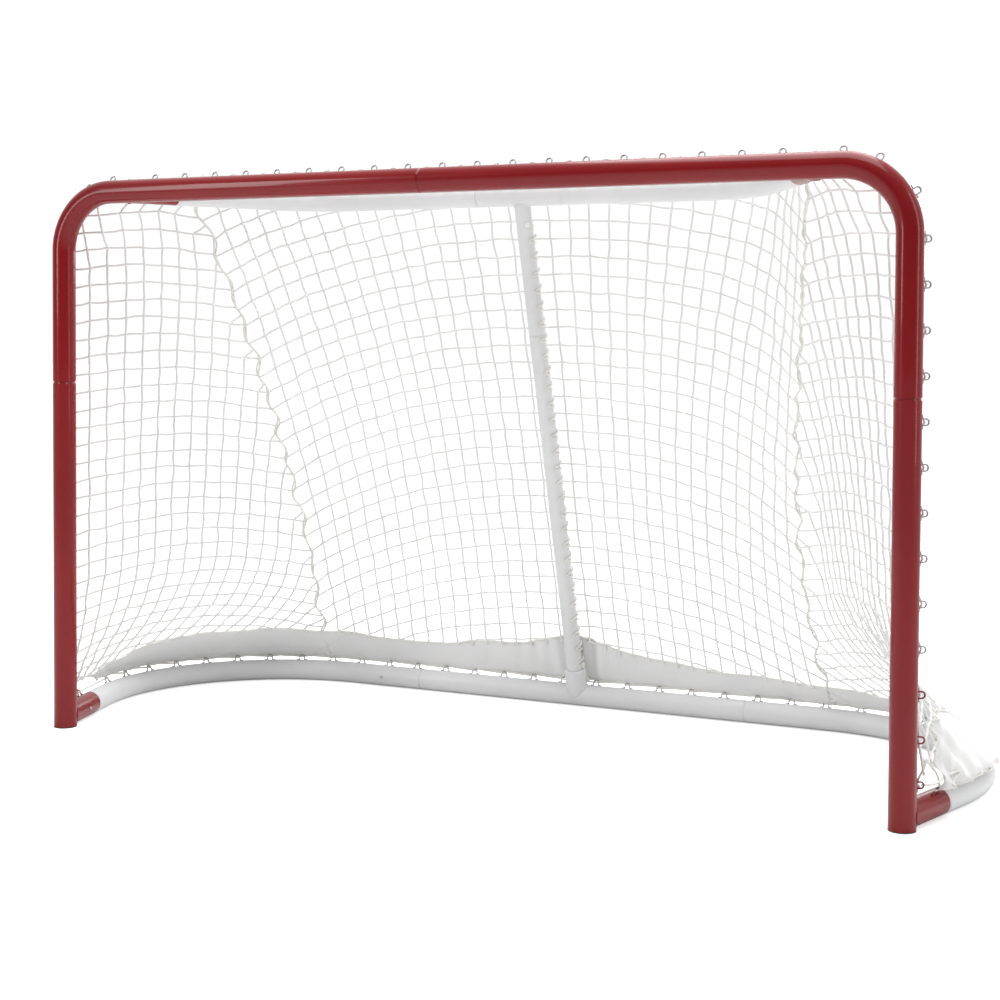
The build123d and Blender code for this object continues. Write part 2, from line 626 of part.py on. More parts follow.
def build_nodes():
    nodes = {
        "upper_corner_right": make_upper_corner_right(),
        "upper_corner_left": make_upper_corner_left(),
        "base_centre": make_base_centre(),
        "top_bar_centre": make_top_bar_centre(),
        "brace": make_brace(),
        "net_back": make_net_back(),
        "net_top": make_net_top(),
        "skirt_back": make_skirt_back(),
        "brace_lacing": make_brace_lacing(),
        "base_lacing": make_base_lacing(),
        "crossbar_lacing": make_crossbar_lacing(),
        "button_springs": [button.spring() for button in buttons.values()],
    }
    nodes |= pair("foot_plug", foot_plug())
    nodes |= pair("net_side", side_net())
    nodes |= pair("skirt_side", side_skirt())
    nodes |= pair("seam_cord", seam_cord())
    nodes |= pair("post_lacing", post_lacing())
    post = lower_post()
    base = base_side()
    top = top_bar_side()
    nodes["lower_post_right"] = drilled(post, "post_right", "base_stub_right")
    nodes["lower_post_left"] = drilled(mirrored(post), "post_left", "base_stub_left")
    nodes["base_right"] = drilled(base, "base_right", "base_stub_right")
    nodes["base_left"] = drilled(mirrored(base), "base_left", "base_stub_left")
    nodes["top_bar_right"] = drilled(top, "top_bar_right", "top_stub_right")
    nodes["top_bar_left"] = drilled(mirrored(top), "top_bar_left", "top_stub_left")
    nodes |= {f"button_{name}": button.solid() for name, button in buttons.items()}
    return nodes | hook_nodes()


def as_compound(shape):
    """A node as one compound of its separate solids."""
    parts = shape if isinstance(shape, list) else [shape]
    return Compound([solid for part in parts for solid in part.solids()])


compounds = {name: as_compound(shape) for name, shape in build_nodes().items()}
boxes = [compound.bounding_box() for compound in compounds.values()]
footprint_middle = (min(b.min.Y for b in boxes) + max(b.max.Y for b in boxes)) / 2
os.makedirs("parts", exist_ok=True)
for name, compound in compounds.items():
    placed = Pos(0, -footprint_middle, 0) * compound
    placed.label = name
    export_step(placed, f"parts/{name}.step")
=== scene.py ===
import math
import random

import bpy
import numpy as np
from mathutils import Matrix, Vector

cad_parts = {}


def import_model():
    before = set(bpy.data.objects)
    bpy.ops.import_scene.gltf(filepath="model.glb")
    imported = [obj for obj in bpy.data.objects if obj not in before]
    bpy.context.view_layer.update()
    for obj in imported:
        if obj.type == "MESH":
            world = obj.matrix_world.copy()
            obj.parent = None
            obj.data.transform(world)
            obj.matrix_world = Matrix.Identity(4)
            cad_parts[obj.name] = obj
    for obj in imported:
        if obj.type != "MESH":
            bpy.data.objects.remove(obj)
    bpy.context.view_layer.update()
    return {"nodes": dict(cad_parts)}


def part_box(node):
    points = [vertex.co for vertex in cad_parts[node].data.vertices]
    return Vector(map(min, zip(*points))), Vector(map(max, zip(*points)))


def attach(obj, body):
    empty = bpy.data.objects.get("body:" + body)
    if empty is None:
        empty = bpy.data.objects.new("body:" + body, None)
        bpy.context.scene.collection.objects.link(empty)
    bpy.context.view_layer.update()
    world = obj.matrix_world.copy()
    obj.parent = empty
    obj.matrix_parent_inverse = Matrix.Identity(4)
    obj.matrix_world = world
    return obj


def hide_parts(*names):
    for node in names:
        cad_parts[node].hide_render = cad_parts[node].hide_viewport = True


# A full-size hockey goal: netting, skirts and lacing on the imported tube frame.
# X runs across the goal, Y from the mouth to the back, Z up. Metres.

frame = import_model()
rng = random.Random(7)

# ------------------------------------------------------- places from the frame
plug_low, plug_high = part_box("foot_plug_right")
TUBE_R = (plug_high.x - plug_low.x) / 2
POST_X = (plug_low.x + plug_high.x) / 2
GOAL_Y = (plug_low.y + plug_high.y) / 2
BASE_Z = TUBE_R
BASE_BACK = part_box("base_centre")[1].y - TUBE_R - GOAL_Y
TOP_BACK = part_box("top_bar_centre")[0].y + TUBE_R - GOAL_Y
BAR_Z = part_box("top_bar_centre")[1].z - TUBE_R
BEND_RADIUS = 0.127
BASE_SPLAY = 0.204
BASE_CORNER_RADIUS = 0.404
TOP_START_X = 0.770
TOP_TAPER = 0.237
TOP_CORNER_RADIUS = 0.200
BRACE_R = 0.01905
SOCKET_R = TUBE_R
SOCKET_HEIGHT = 0.070

# --------------------------------------------------------- net, skirt, lacing
NET_OFF = 0.0292
NET_START = 0.038
NET_EDGE = (0.005, 0.032)
FLARE_START = 0.070
FLARE_HEIGHT = 0.330
SEAM_FROM_CROSSBAR = 0.170
SEAM_FOOT_X = 0.600
CELL = 0.040
TWINE_R = 0.0026
SIDE_TOP = 1.164
BACK_COLUMNS = 17
ROW_DROP = 0.160
SKIRT_LOW = 0.057
POST_HOOK_FIRST = 0.081
POST_HOOK_PITCH = 0.0815
POST_HOOKS = 13
POST_HOOK_LEAN = math.radians(30)  # from straight sideways, towards the back
BAR_HOOK_PITCH = 0.078
BAR_HOOKS_PER_SIDE = 9
BAR_LACE_LEAN = math.radians(58)  # behind the crossbar's hooks, from straight up
BASE_HOOK_FIRST = 0.042  # from the middle of the back
BASE_HOOK_PITCH = 0.080
BASE_HOOKS_PER_SIDE = 17
BASE_HOOK_LEAN = math.radians(25)  # from straight up, outwards
STUB_HOOK = 0.105  # on the base's red stub, from the post
STUB_CLEAR = 0.200  # no base hook nearer to the post than this, but for the stub's
HOOK_REACH = TUBE_R + 0.0105
LACE_R = 0.0021
SEAM_CORD_R = 0.0024
# where each side skirt's front end is, from the post
SKIRT_START = {"right": 0.060, "left": 0.200}
# shares of the way from that end to the middle of the back, and the top edge's height there
SKIRT_TOP = {
    "right": (
        (0.0, 0.04, 0.10, 0.17, 0.24, 0.32, 0.50, 0.80, 0.93, 1.0),
        (0.10, 0.165, 0.172, 0.150, 0.120, 0.104, 0.094, 0.112, 0.140, 0.168),
    ),
    "left": (
        (0.0, 0.05, 0.10, 0.2, 0.32, 0.50, 0.66, 0.90, 1.0),
        (0.078, 0.098, 0.130, 0.142, 0.142, 0.130, 0.116, 0.142, 0.168),
    ),
}
SKIRT_LEVEL = 0.09  # the height at which a skirt's run is measured
CLOTH_THICKNESS = 0.0012
# how far a seam's line runs in towards the middle at its foot, middle and head
SEAM_DRIFT = {"right": (-0.024, 0.068, 0.0), "left": (-0.097, -0.004, 0.0)}


# -------------------------------------------------------------------- geometry
class Route:
    """A line of points that gives the point at any length along it."""

    def __init__(self, points):
        self.points = np.array(points, float)
        steps = np.linalg.norm(np.diff(self.points, axis=0), axis=1)
        self.marks = np.concatenate([[0], np.cumsum(steps)])
        self.length = float(self.marks[-1])

    def at(self, distance):
        axes = range(self.points.shape[1])
        return np.array([np.interp(distance, self.marks, self.points[:, k]) for k in axes]).T


def unit(*v):
    v = np.array(v, float)
    return v / np.linalg.norm(v)


def rounded_plan(origin, heading, depth, radius, start, end_x, offset):
    """Half a plan: side run, round corner, back run, moved outwards by an offset."""
    side = np.array([heading[1], -heading[0]]) * offset
    run = (depth + offset - side[1] - origin[1]) / heading[1]
    corner = origin + side + heading * run
    turn = math.acos(-heading[0])
    tangent = (radius + offset) * math.tan(turn / 2)
    inwards = np.array([-heading[1], heading[0]])
    bend_start = corner - heading * tangent
    centre = bend_start + inwards * (radius + offset)
    bend = [
        centre + (heading * math.sin(a) - inwards * math.cos(a)) * (radius + offset)
        for a in np.linspace(0, turn, 24)
    ]
    first = origin + side + heading * start
    return Route([first, *bend, (end_x, depth + offset)])


BASE_DIR = unit(BASE_SPLAY, BASE_BACK)
TOP_DIR = unit(-TOP_TAPER, TOP_BACK)
POST_FOOT = np.array([POST_X, 0.0])
TOP_START = np.array([TOP_START_X, 0.0])


def base_plan(start, end_x, offset):
    return rounded_plan(POST_FOOT, BASE_DIR, BASE_BACK, BASE_CORNER_RADIUS, start, end_x, offset)


def top_plan(start, end_x, offset):
    return rounded_plan(TOP_START, TOP_DIR, TOP_BACK, TOP_CORNER_RADIUS, start, end_x, offset)


FOOT_PLAN = base_plan(NET_START, SEAM_FOOT_X, NET_OFF)
HEAD_PLAN = top_plan(SEAM_FROM_CROSSBAR, 0, NET_OFF)
SEAM_FOOT = FOOT_PLAN.at(FOOT_PLAN.length)
SEAM_HEAD = HEAD_PLAN.at(0)
LEVELS = np.linspace(0.03, BAR_Z + NET_OFF, 120)
SHARES = np.linspace(0, 1, 260)


def rise(z):
    return (z - BASE_Z) / (BAR_Z - BASE_Z)


def flare(z):
    """How far a side net has spread to the base's plan at a height, 0 to 1."""
    if z <= FLARE_START:
        return 1.0
    return max(0.0, 1 - (z - FLARE_START) / FLARE_HEIGHT) ** 2


def level_route(z):
    """Half the net's plan at a height, from the post to the middle of the back."""
    up = rise(z)
    spread = flare(z)
    foot = FOOT_PLAN.at(0)
    edge = np.array([POST_X + NET_EDGE[0], NET_EDGE[1]])
    inset = max(0.0, z - BAR_Z + BEND_RADIUS) / BEND_RADIUS
    start = edge + (foot - edge) * spread - np.array([inset * (edge[0] - TOP_START_X - TUBE_R), 0])
    seam = SEAM_FOOT * (1 - up) + SEAM_HEAD * up
    u = np.linspace(0, 1, 60)[:, None]
    belly = FOOT_PLAN.at(u[:, 0] * FOOT_PLAN.length) - foot * (1 - u) - SEAM_FOOT * u
    side = start * (1 - u) + seam * u + belly * spread
    back_foot = np.hstack([SEAM_FOOT_X * (1 - u), np.full_like(u, SEAM_FOOT[1])])
    back = back_foot * (1 - up) + HEAD_PLAN.at(u[:, 0] * HEAD_PLAN.length) * up
    whole = Route(np.vstack([side, back[1:]]))
    return whole, whole.marks[59]


routes = [level_route(z) for z in LEVELS]
GRID = np.array([route.at(SHARES * route.length) for route, _ in routes])
LENGTHS = np.array([route.length for route, _ in routes])
SEAM_MARKS = np.array([mark for _, mark in routes])


def half_length(z):
    """From the post to the middle of the back, round the net at a height."""
    return float(np.interp(z, LEVELS, LENGTHS))


def seam_mark(side, z):
    """From the post to the seam, round the net at a height."""
    foot, middle, head = SEAM_DRIFT[side]
    t = min(1.0, max(0.0, rise(z)))
    drift = foot * (1 - t) ** 2 + (2 * middle - (foot + head) / 2) * 2 * t * (1 - t) + head * t**2
    return float(np.interp(z, LEVELS, SEAM_MARKS)) + drift


def on_net(side, z, s, out=0.0):
    """A point on the net: a height, a length from the post, and how far proud."""
    row = np.interp(z, LEVELS, np.arange(len(LEVELS)))
    low = int(min(row, len(LEVELS) - 2))
    share = row - low
    place = s / half_length(z) * (len(SHARES) - 1)
    first = int(min(max(place, 0), len(SHARES) - 2))
    near = place - first
    line = GRID[low] * (1 - share) + GRID[low + 1] * share
    step = line[first + 1] - line[first]
    x, y = line[first] + step * near
    normal = unit(step[1], -step[0])
    x, y = x + normal[0] * out, y + normal[1] * out
    return np.array([x if side == "right" else -x, y + GOAL_Y, z])


def world(x, y, z):
    """A point given from the middle of the goal line."""
    return np.array([x, y + GOAL_Y, z])


def mirrored(points):
    return [np.array([-p[0], p[1], p[2]]) for p in points]


# ------------------------------------------------------------- strands of cord
def smooth_line(points, steps=4):
    """A rounded line through some points."""
    p = np.array(points, float)
    if len(p) < 3:
        return np.array([p[0] + (p[-1] - p[0]) * k / steps for k in range(steps + 1)])
    padded = np.vstack([2 * p[0] - p[1], p, 2 * p[-1] - p[-2]])
    out = []
    for i in range(len(p) - 1):
        a, b, c, d = padded[i : i + 4]
        for k in range(steps):
            t = k / steps
            bent = (2 * a - 5 * b + 4 * c - d) * t**2 + (3 * b - a - 3 * c + d) * t**3
            out.append(0.5 * (2 * b + (c - a) * t + bent))
    out.append(p[-1])
    return np.array(out)


class Strands:
    """Round cords gathered into one mesh, with a map of length and turn."""

    def __init__(self):
        self.points, self.faces, self.maps = [], [], []
        self.count = 0

    def cord(self, line, radius, sides=6):
        line = np.array(line, float)
        steps = np.gradient(line, axis=0)
        tangents = steps / np.maximum(np.linalg.norm(steps, axis=1), 1e-9)[:, None]
        across = np.cross(tangents[0], (0, 0, 1) if abs(tangents[0][2]) < 0.9 else (1, 0, 0))
        marks = Route(line).marks
        angles = np.arange(sides) * 2 * math.pi / sides
        ring_points = []
        for point, tangent in zip(line, tangents):
            across = across - tangent * (across @ tangent)
            across = across / np.linalg.norm(across)
            other = np.cross(tangent, across)
            ring_points.append(
                point + radius * (np.cos(angles)[:, None] * across + np.sin(angles)[:, None] * other)
            )
        start = self.count
        self.points.append(np.vstack(ring_points))
        rows = len(line)
        for i in range(rows - 1):
            for k in range(sides):
                n = (k + 1) % sides
                low, high = start + i * sides, start + (i + 1) * sides
                self.faces.append((low + k, low + n, high + n, high + k))
                a, b = k / sides, (k + 1) / sides
                self.maps.extend([(marks[i], a), (marks[i], b), (marks[i + 1], b), (marks[i + 1], a)])
        for ring, flip in ((start, True), (start + (rows - 1) * sides, False)):
            face = [ring + k for k in range(sides)]
            self.faces.append(tuple(reversed(face)) if flip else tuple(face))
            self.maps.extend([(0, k / sides) for k in range(sides)])
        self.count += rows * sides

    def bead(self, centre, size, axis=(0, 0, 1)):
        """A small rounded lump, such as a knot or a weld."""
        rings, sides = 4, 6
        up = unit(*axis)
        across = unit(*np.cross(up, (0.3, 0.9, 0.2)))
        other = np.cross(up, across)
        start = self.count
        made = [centre + up * size[1]]
        for r in range(1, rings):
            a = math.pi * r / rings
            for k in range(sides):
                t = 2 * math.pi * k / sides
                spoke = across * math.cos(t) + other * math.sin(t)
                made.append(centre + up * size[1] * math.cos(a) + spoke * size[0] * math.sin(a))
        made.append(centre - up * size[1])
        self.points.append(np.array(made))
        last = len(made) - 1
        for k in range(sides):
            n = (k + 1) % sides
            self.face((start, start + 1 + k, start + 1 + n))
            for r in range(rings - 2):
                a, b = start + 1 + r * sides, start + 1 + (r + 1) * sides
                self.face((a + k, b + k, b + n, a + n))
            low = start + 1 + (rings - 2) * sides
            self.face((low + k, start + last, low + n))
        self.count += len(made)

    def face(self, corners):
        self.faces.append(corners)
        self.maps.extend([(0.0, 0.5)] * len(corners))

    def build(self, name, material):
        mesh = bpy.data.meshes.new(name)
        mesh.from_pydata(np.vstack(self.points).tolist(), [], self.faces)
        layer = mesh.uv_layers.new(name="lay")
        layer.data.foreach_set("uv", np.array(self.maps, np.float32).ravel())
        return finished(mesh, name, material)


def finished(mesh, name, material):
    """A smooth-shaded object from a mesh, with its material, on the frame."""
    mesh.polygons.foreach_set("use_smooth", [True] * len(mesh.polygons))
    mesh.materials.append(material)
    mesh.update()
    piece = bpy.data.objects.new(name, mesh)
    bpy.context.scene.collection.objects.link(piece)
    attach(piece, "frame")
    return piece


# ---------------------------------------------------------------- shader parts
def new_group(name, inputs, outputs):
    """An empty node group: (name, kind, default) inputs and (name, kind) outputs."""
    group = bpy.data.node_groups.new(name, "ShaderNodeTree")
    for label, kind, value in inputs:
        socket = group.interface.new_socket(label, in_out="INPUT", socket_type=kind)
        socket.default_value = value
    for label, kind in outputs:
        group.interface.new_socket(label, in_out="OUTPUT", socket_type=kind)
    return group, group.nodes.new("NodeGroupInput"), group.nodes.new("NodeGroupOutput")


def math_node(tree, kind, a, b=None):
    node = tree.nodes.new("ShaderNodeMath")
    node.operation = kind
    for socket, value in zip(node.inputs, (a, b)):
        if value is None:
            continue
        if isinstance(value, (int, float)):
            socket.default_value = value
        else:
            tree.links.new(value, socket)
    return node.outputs[0]


def noise_node(tree, vector, scale, detail=3.0, roughness=0.5):
    node = tree.nodes.new("ShaderNodeTexNoise")
    node.inputs["Detail"].default_value = detail
    node.inputs["Roughness"].default_value = roughness
    tree.links.new(vector, node.inputs["Vector"])
    if isinstance(scale, (int, float)):
        node.inputs["Scale"].default_value = scale
    else:
        tree.links.new(scale, node.inputs["Scale"])
    return node.outputs["Fac"]


def range_node(tree, value, low, high, to_low, to_high):
    node = tree.nodes.new("ShaderNodeMapRange")
    tree.links.new(value, node.inputs["Value"])
    for label, number in (("From Min", low), ("From Max", high), ("To Min", to_low), ("To Max", to_high)):
        if isinstance(number, (int, float)):
            node.inputs[label].default_value = number
        else:
            tree.links.new(number, node.inputs[label])
    return node.outputs["Result"]


def paint_film_group():
    """Orange peel, slow tone change and fine scuffs of a powder coat."""
    group, given, out = new_group(
        "paint_film",
        [
            ("Vector", "NodeSocketVector", (0, 0, 0)),
            ("Peel Scale", "NodeSocketFloat", 300.0),
            ("Scuff Amount", "NodeSocketFloat", 0.5),
        ],
        [("Peel", "NodeSocketFloat"), ("Tone", "NodeSocketFloat"), ("Scuff", "NodeSocketFloat")],
    )
    vector = given.outputs["Vector"]
    peel = noise_node(group, vector, given.outputs["Peel Scale"], 2.0)
    tone = noise_node(group, vector, 3.5, 4.0)
    fine = noise_node(group, vector, 55.0, 6.0, 0.7)
    streaks = range_node(group, fine, 0.56, 0.74, 0.0, 1.0)
    group.links.new(peel, out.inputs["Peel"])
    group.links.new(range_node(group, tone, 0.3, 0.7, 0.0, 1.0), out.inputs["Tone"])
    scuff = math_node(group, "MULTIPLY", streaks, given.outputs["Scuff Amount"])
    group.links.new(scuff, out.inputs["Scuff"])
    return group


def laid_twine_group():
    """The ridges of laid strands, which also set the painted shade in the grooves between them, and patchy
    grime, from a cord's map.
    """
    group, given, out = new_group(
        "laid_twine",
        [
            ("Lay", "NodeSocketVector", (0, 0, 0)),
            ("Place", "NodeSocketVector", (0, 0, 0)),
            ("Turns Per Metre", "NodeSocketFloat", 160.0),
            ("Strands", "NodeSocketFloat", 3.0),
        ],
        [("Ridge", "NodeSocketFloat"), ("Fuzz", "NodeSocketFloat"), ("Grime", "NodeSocketFloat")],
    )
    split = group.nodes.new("ShaderNodeSeparateXYZ")
    group.links.new(given.outputs["Lay"], split.inputs[0])
    along = math_node(group, "MULTIPLY", split.outputs["X"], given.outputs["Turns Per Metre"])
    around = math_node(group, "MULTIPLY", split.outputs["Y"], given.outputs["Strands"])
    phase = math_node(group, "MULTIPLY", math_node(group, "ADD", along, around), math.pi)
    ridge = math_node(group, "ABSOLUTE", math_node(group, "SINE", phase))
    fuzz = noise_node(group, given.outputs["Place"], 900.0, 2.0)
    grime = noise_node(group, given.outputs["Place"], 14.0, 3.0)
    group.links.new(ridge, out.inputs["Ridge"])
    group.links.new(fuzz, out.inputs["Fuzz"])
    group.links.new(range_node(group, grime, 0.35, 0.7, 0.0, 1.0), out.inputs["Grime"])
    return group


def plain_weave_group():
    """Crossing yarns of a woven cloth, with slow creasing."""
    group, given, out = new_group(
        "plain_weave",
        [("Lay", "NodeSocketVector", (0, 0, 0)), ("Yarns Per Metre", "NodeSocketFloat", 900.0)],
        [("Yarn", "NodeSocketFloat"), ("Crease", "NodeSocketFloat"), ("Cloud", "NodeSocketFloat")],
    )
    split = group.nodes.new("ShaderNodeSeparateXYZ")
    group.links.new(given.outputs["Lay"], split.inputs[0])
    waves = []
    for axis in ("X", "Y"):
        turn = math_node(group, "MULTIPLY", split.outputs[axis], given.outputs["Yarns Per Metre"])
        waves.append(math_node(group, "SINE", math_node(group, "MULTIPLY", turn, 2 * math.pi)))
    yarn = math_node(group, "MULTIPLY", waves[0], waves[1])
    crease = noise_node(group, given.outputs["Lay"], 26.0, 5.0, 0.6)
    cloud = noise_node(group, given.outputs["Lay"], 7.0, 3.0)
    group.links.new(range_node(group, yarn, -1.0, 1.0, 0.0, 1.0), out.inputs["Yarn"])
    group.links.new(crease, out.inputs["Crease"])
    group.links.new(range_node(group, cloud, 0.3, 0.7, 0.0, 1.0), out.inputs["Cloud"])
    return group


PAINT_FILM = paint_film_group()
LAID_TWINE = laid_twine_group()
PLAIN_WEAVE = plain_weave_group()


def new_material(name):
    material = bpy.data.materials.new(name)
    material.use_nodes = True
    tree = material.node_tree
    tree.nodes.clear()
    shader = tree.nodes.new("ShaderNodeBsdfPrincipled")
    output = tree.nodes.new("ShaderNodeOutputMaterial")
    tree.links.new(shader.outputs[0], output.inputs["Surface"])
    return material, tree, shader


def use_group(tree, group, **values):
    node = tree.nodes.new("ShaderNodeGroup")
    node.node_tree = group
    for label, value in values.items():
        socket = node.inputs[label.replace("_", " ")]
        if isinstance(value, (int, float)):
            socket.default_value = value
        else:
            tree.links.new(value, socket)
    return node.outputs


def colour_mix(tree, mask, first, second):
    """A colour that goes from one value or output to another by a mask."""
    node = tree.nodes.new("ShaderNodeMix")
    node.data_type = "RGBA"
    tree.links.new(mask, node.inputs["Factor"])
    for label, value in (("A", first), ("B", second)):
        socket = next(s for s in node.inputs if s.name == label and s.type == "RGBA")
        if isinstance(value, tuple):
            socket.default_value = (*value, 1)
        else:
            tree.links.new(value, socket)
    return next(s for s in node.outputs if s.type == "RGBA")


def bump(tree, height, strength, distance, normal=None):
    node = tree.nodes.new("ShaderNodeBump")
    node.inputs["Strength"].default_value = strength
    node.inputs["Distance"].default_value = distance
    tree.links.new(height, node.inputs["Height"])
    if normal is not None:
        tree.links.new(normal, node.inputs["Normal"])
    return node.outputs["Normal"]


def powder_coat(name, colour, shade, scuffed, gloss, coat):
    """Powder coat: colour to shade by tone, with pale scuffs and orange peel."""
    material, tree, shader = new_material(name)
    place = tree.nodes.new("ShaderNodeTexCoord").outputs["Object"]
    film = use_group(tree, PAINT_FILM, Vector=place, Peel_Scale=340.0, Scuff_Amount=0.12)
    base = colour_mix(tree, film["Tone"], colour, shade)
    tree.links.new(colour_mix(tree, film["Scuff"], base, scuffed), shader.inputs["Base Color"])
    tree.links.new(range_node(tree, film["Scuff"], 0.0, 0.4, *gloss), shader.inputs["Roughness"])
    tree.links.new(bump(tree, film["Peel"], 0.12, 0.0006), shader.inputs["Normal"])
    shader.inputs["Specular IOR Level"].default_value = 0.25
    shader.inputs["Coat Weight"].default_value = coat
    shader.inputs["Coat Roughness"].default_value = 0.05
    return material


def cord_material(name, pale, dull, turns, strands, rough=0.75):
    """White nylon cord: laid strands, a little fuzz, grime in patches, and painted shade darkening the
    grooves between strands.
    """
    material, tree, shader = new_material(name)
    lay = tree.nodes.new("ShaderNodeUVMap")
    lay.uv_map = "lay"
    place = tree.nodes.new("ShaderNodeTexCoord").outputs["Object"]
    twine = use_group(
        tree, LAID_TWINE, Lay=lay.outputs["UV"], Place=place, Turns_Per_Metre=turns, Strands=strands
    )
    soiled = colour_mix(tree, twine["Grime"], pale, dull)
    # painted shade: the grooves between the laid strands are darkened to 0.82 of the dull colour, as if
    # shaded
    painted_groove_shade = tuple(c * 0.82 for c in dull)
    depth = range_node(tree, twine["Ridge"], 0.0, 0.55, 0.0, 1.0)
    tree.links.new(colour_mix(tree, depth, painted_groove_shade, soiled), shader.inputs["Base Color"])
    roughness = range_node(tree, twine["Fuzz"], 0.3, 0.7, rough - 0.1, rough + 0.1)
    tree.links.new(roughness, shader.inputs["Roughness"])
    ridged = bump(tree, twine["Ridge"], 0.7, 0.0006)
    tree.links.new(bump(tree, twine["Fuzz"], 0.25, 0.0003, ridged), shader.inputs["Normal"])
    shader.inputs["Sheen Weight"].default_value = 0.15
    return material


def cloth_material():
    """Off-white woven polyester, with painted shade in the hollows of the weave."""
    material, tree, shader = new_material("skirt_cloth")
    lay = tree.nodes.new("ShaderNodeUVMap")
    lay.uv_map = "lay"
    weave = use_group(tree, PLAIN_WEAVE, Lay=lay.outputs["UV"], Yarns_Per_Metre=700.0)
    tone = colour_mix(tree, weave["Cloud"], (0.90, 0.90, 0.895), (0.83, 0.835, 0.84))
    # painted shade: where the weave's height (Yarn) is low, the cloth takes a darker fixed colour, as if
    # shaded in the hollows
    tree.links.new(colour_mix(tree, weave["Yarn"], (0.84, 0.84, 0.835), tone), shader.inputs["Base Color"])
    tree.links.new(range_node(tree, weave["Crease"], 0.3, 0.7, 0.78, 0.92), shader.inputs["Roughness"])
    creased = bump(tree, weave["Crease"], 0.35, 0.003)
    tree.links.new(bump(tree, weave["Yarn"], 0.35, 0.0004, creased), shader.inputs["Normal"])
    shader.inputs["Sheen Weight"].default_value = 0.2
    return material


def metal_material(name, colour, dull, rough):
    """Plated or bare steel with faint staining."""
    material, tree, shader = new_material(name)
    place = tree.nodes.new("ShaderNodeTexCoord").outputs["Object"]
    film = use_group(tree, PAINT_FILM, Vector=place, Peel_Scale=700.0, Scuff_Amount=1.0)
    tree.links.new(colour_mix(tree, film["Scuff"], colour, dull), shader.inputs["Base Color"])
    roughness = range_node(tree, film["Peel"], 0.3, 0.7, rough - 0.08, rough + 0.12)
    tree.links.new(roughness, shader.inputs["Roughness"])
    tree.links.new(bump(tree, film["Peel"], 0.1, 0.0002), shader.inputs["Normal"])
    shader.inputs["Metallic"].default_value = 0.9
    return material


def hook_material():
    """Zinc wire hooks of a post: the lowest ones, below about 0.285 m, painted red."""
    material, tree, shader = new_material("post_hook_wire")
    place = tree.nodes.new("ShaderNodeTexCoord").outputs["Object"]
    split = tree.nodes.new("ShaderNodeSeparateXYZ")
    tree.links.new(place, split.inputs[0])
    film = use_group(tree, PAINT_FILM, Vector=place, Peel_Scale=700.0, Scuff_Amount=1.0)
    zinc = range_node(tree, split.outputs["Z"], 0.283, 0.287, 0.0, 1.0)
    colour = colour_mix(tree, zinc, (0.20, 0.012, 0.014), (0.40, 0.39, 0.40))
    tree.links.new(colour_mix(tree, film["Scuff"], colour, (0.30, 0.22, 0.22)), shader.inputs["Base Color"])
    tree.links.new(math_node(tree, "MULTIPLY", zinc, 0.85), shader.inputs["Metallic"])
    tree.links.new(range_node(tree, film["Peel"], 0.3, 0.7, 0.38, 0.55), shader.inputs["Roughness"])
    tree.links.new(bump(tree, film["Peel"], 0.1, 0.0002), shader.inputs["Normal"])
    return material


def plastic_material():
    """Black moulded plastic of the foot plugs."""
    material, tree, shader = new_material("moulded_black")
    place = tree.nodes.new("ShaderNodeTexCoord").outputs["Object"]
    film = use_group(tree, PAINT_FILM, Vector=place, Peel_Scale=520.0, Scuff_Amount=0.7)
    black = colour_mix(tree, film["Scuff"], (0.018, 0.018, 0.02), (0.07, 0.07, 0.07))
    tree.links.new(black, shader.inputs["Base Color"])
    tree.links.new(range_node(tree, film["Tone"], 0.0, 1.0, 0.45, 0.6), shader.inputs["Roughness"])
    tree.links.new(bump(tree, film["Peel"], 0.2, 0.0004), shader.inputs["Normal"])
    return material


RED_PAINT = powder_coat(
    "red_powder_coat",
    colour=(0.25, 0.0055, 0.008),
    shade=(0.21, 0.0045, 0.007),
    scuffed=(0.27, 0.012, 0.014),
    gloss=(0.22, 0.34),
    coat=0.3,
)
WHITE_PAINT = powder_coat(
    "white_powder_coat",
    colour=(0.78, 0.785, 0.79),
    shade=(0.72, 0.725, 0.73),
    scuffed=(0.6, 0.6, 0.6),
    gloss=(0.38, 0.5),
    coat=0.1,
)
ZINC_WIRE = metal_material("zinc_wire", (0.42, 0.42, 0.43), (0.25, 0.25, 0.26), 0.42)
HOOK_WIRE = hook_material()
STEEL = metal_material("button_steel", (0.52, 0.52, 0.54), (0.33, 0.32, 0.31), 0.3)
SPRING = metal_material("spring_steel", (0.2, 0.2, 0.22), (0.12, 0.11, 0.1), 0.35)
PLUG = plastic_material()
NETTING = cord_material("net_twine", (0.92, 0.92, 0.91), (0.87, 0.87, 0.855), 170.0, 3.0)
LACING = cord_material("lacing_cord", (0.88, 0.87, 0.84), (0.80, 0.785, 0.74), 130.0, 3.0)
SEAMING = cord_material("seam_cord", (0.90, 0.89, 0.85), (0.83, 0.82, 0.77), 120.0, 3.0)
CLOTH = cloth_material()

NODE_FINISHES = {
    RED_PAINT: ("upper_corner", "lower_post"),
    HOOK_WIRE: ("hooks_post",),
    WHITE_PAINT: ("base_right", "base_left", "base_centre", "top_bar", "brace"),
    ZINC_WIRE: ("hooks_upper", "hooks_base"),
    STEEL: ("button_",),
    PLUG: ("foot_plug",),
}
for material, starts in NODE_FINISHES.items():
    for name, node in frame["nodes"].items():
        if name.startswith(starts) and len(node.data.materials):
            node.material_slots[0].material = material
frame["nodes"]["button_springs"].material_slots[0].material = SPRING


# --------------------------------------------------------------------- netting
def wander(amount):
    return rng.uniform(-amount, amount)


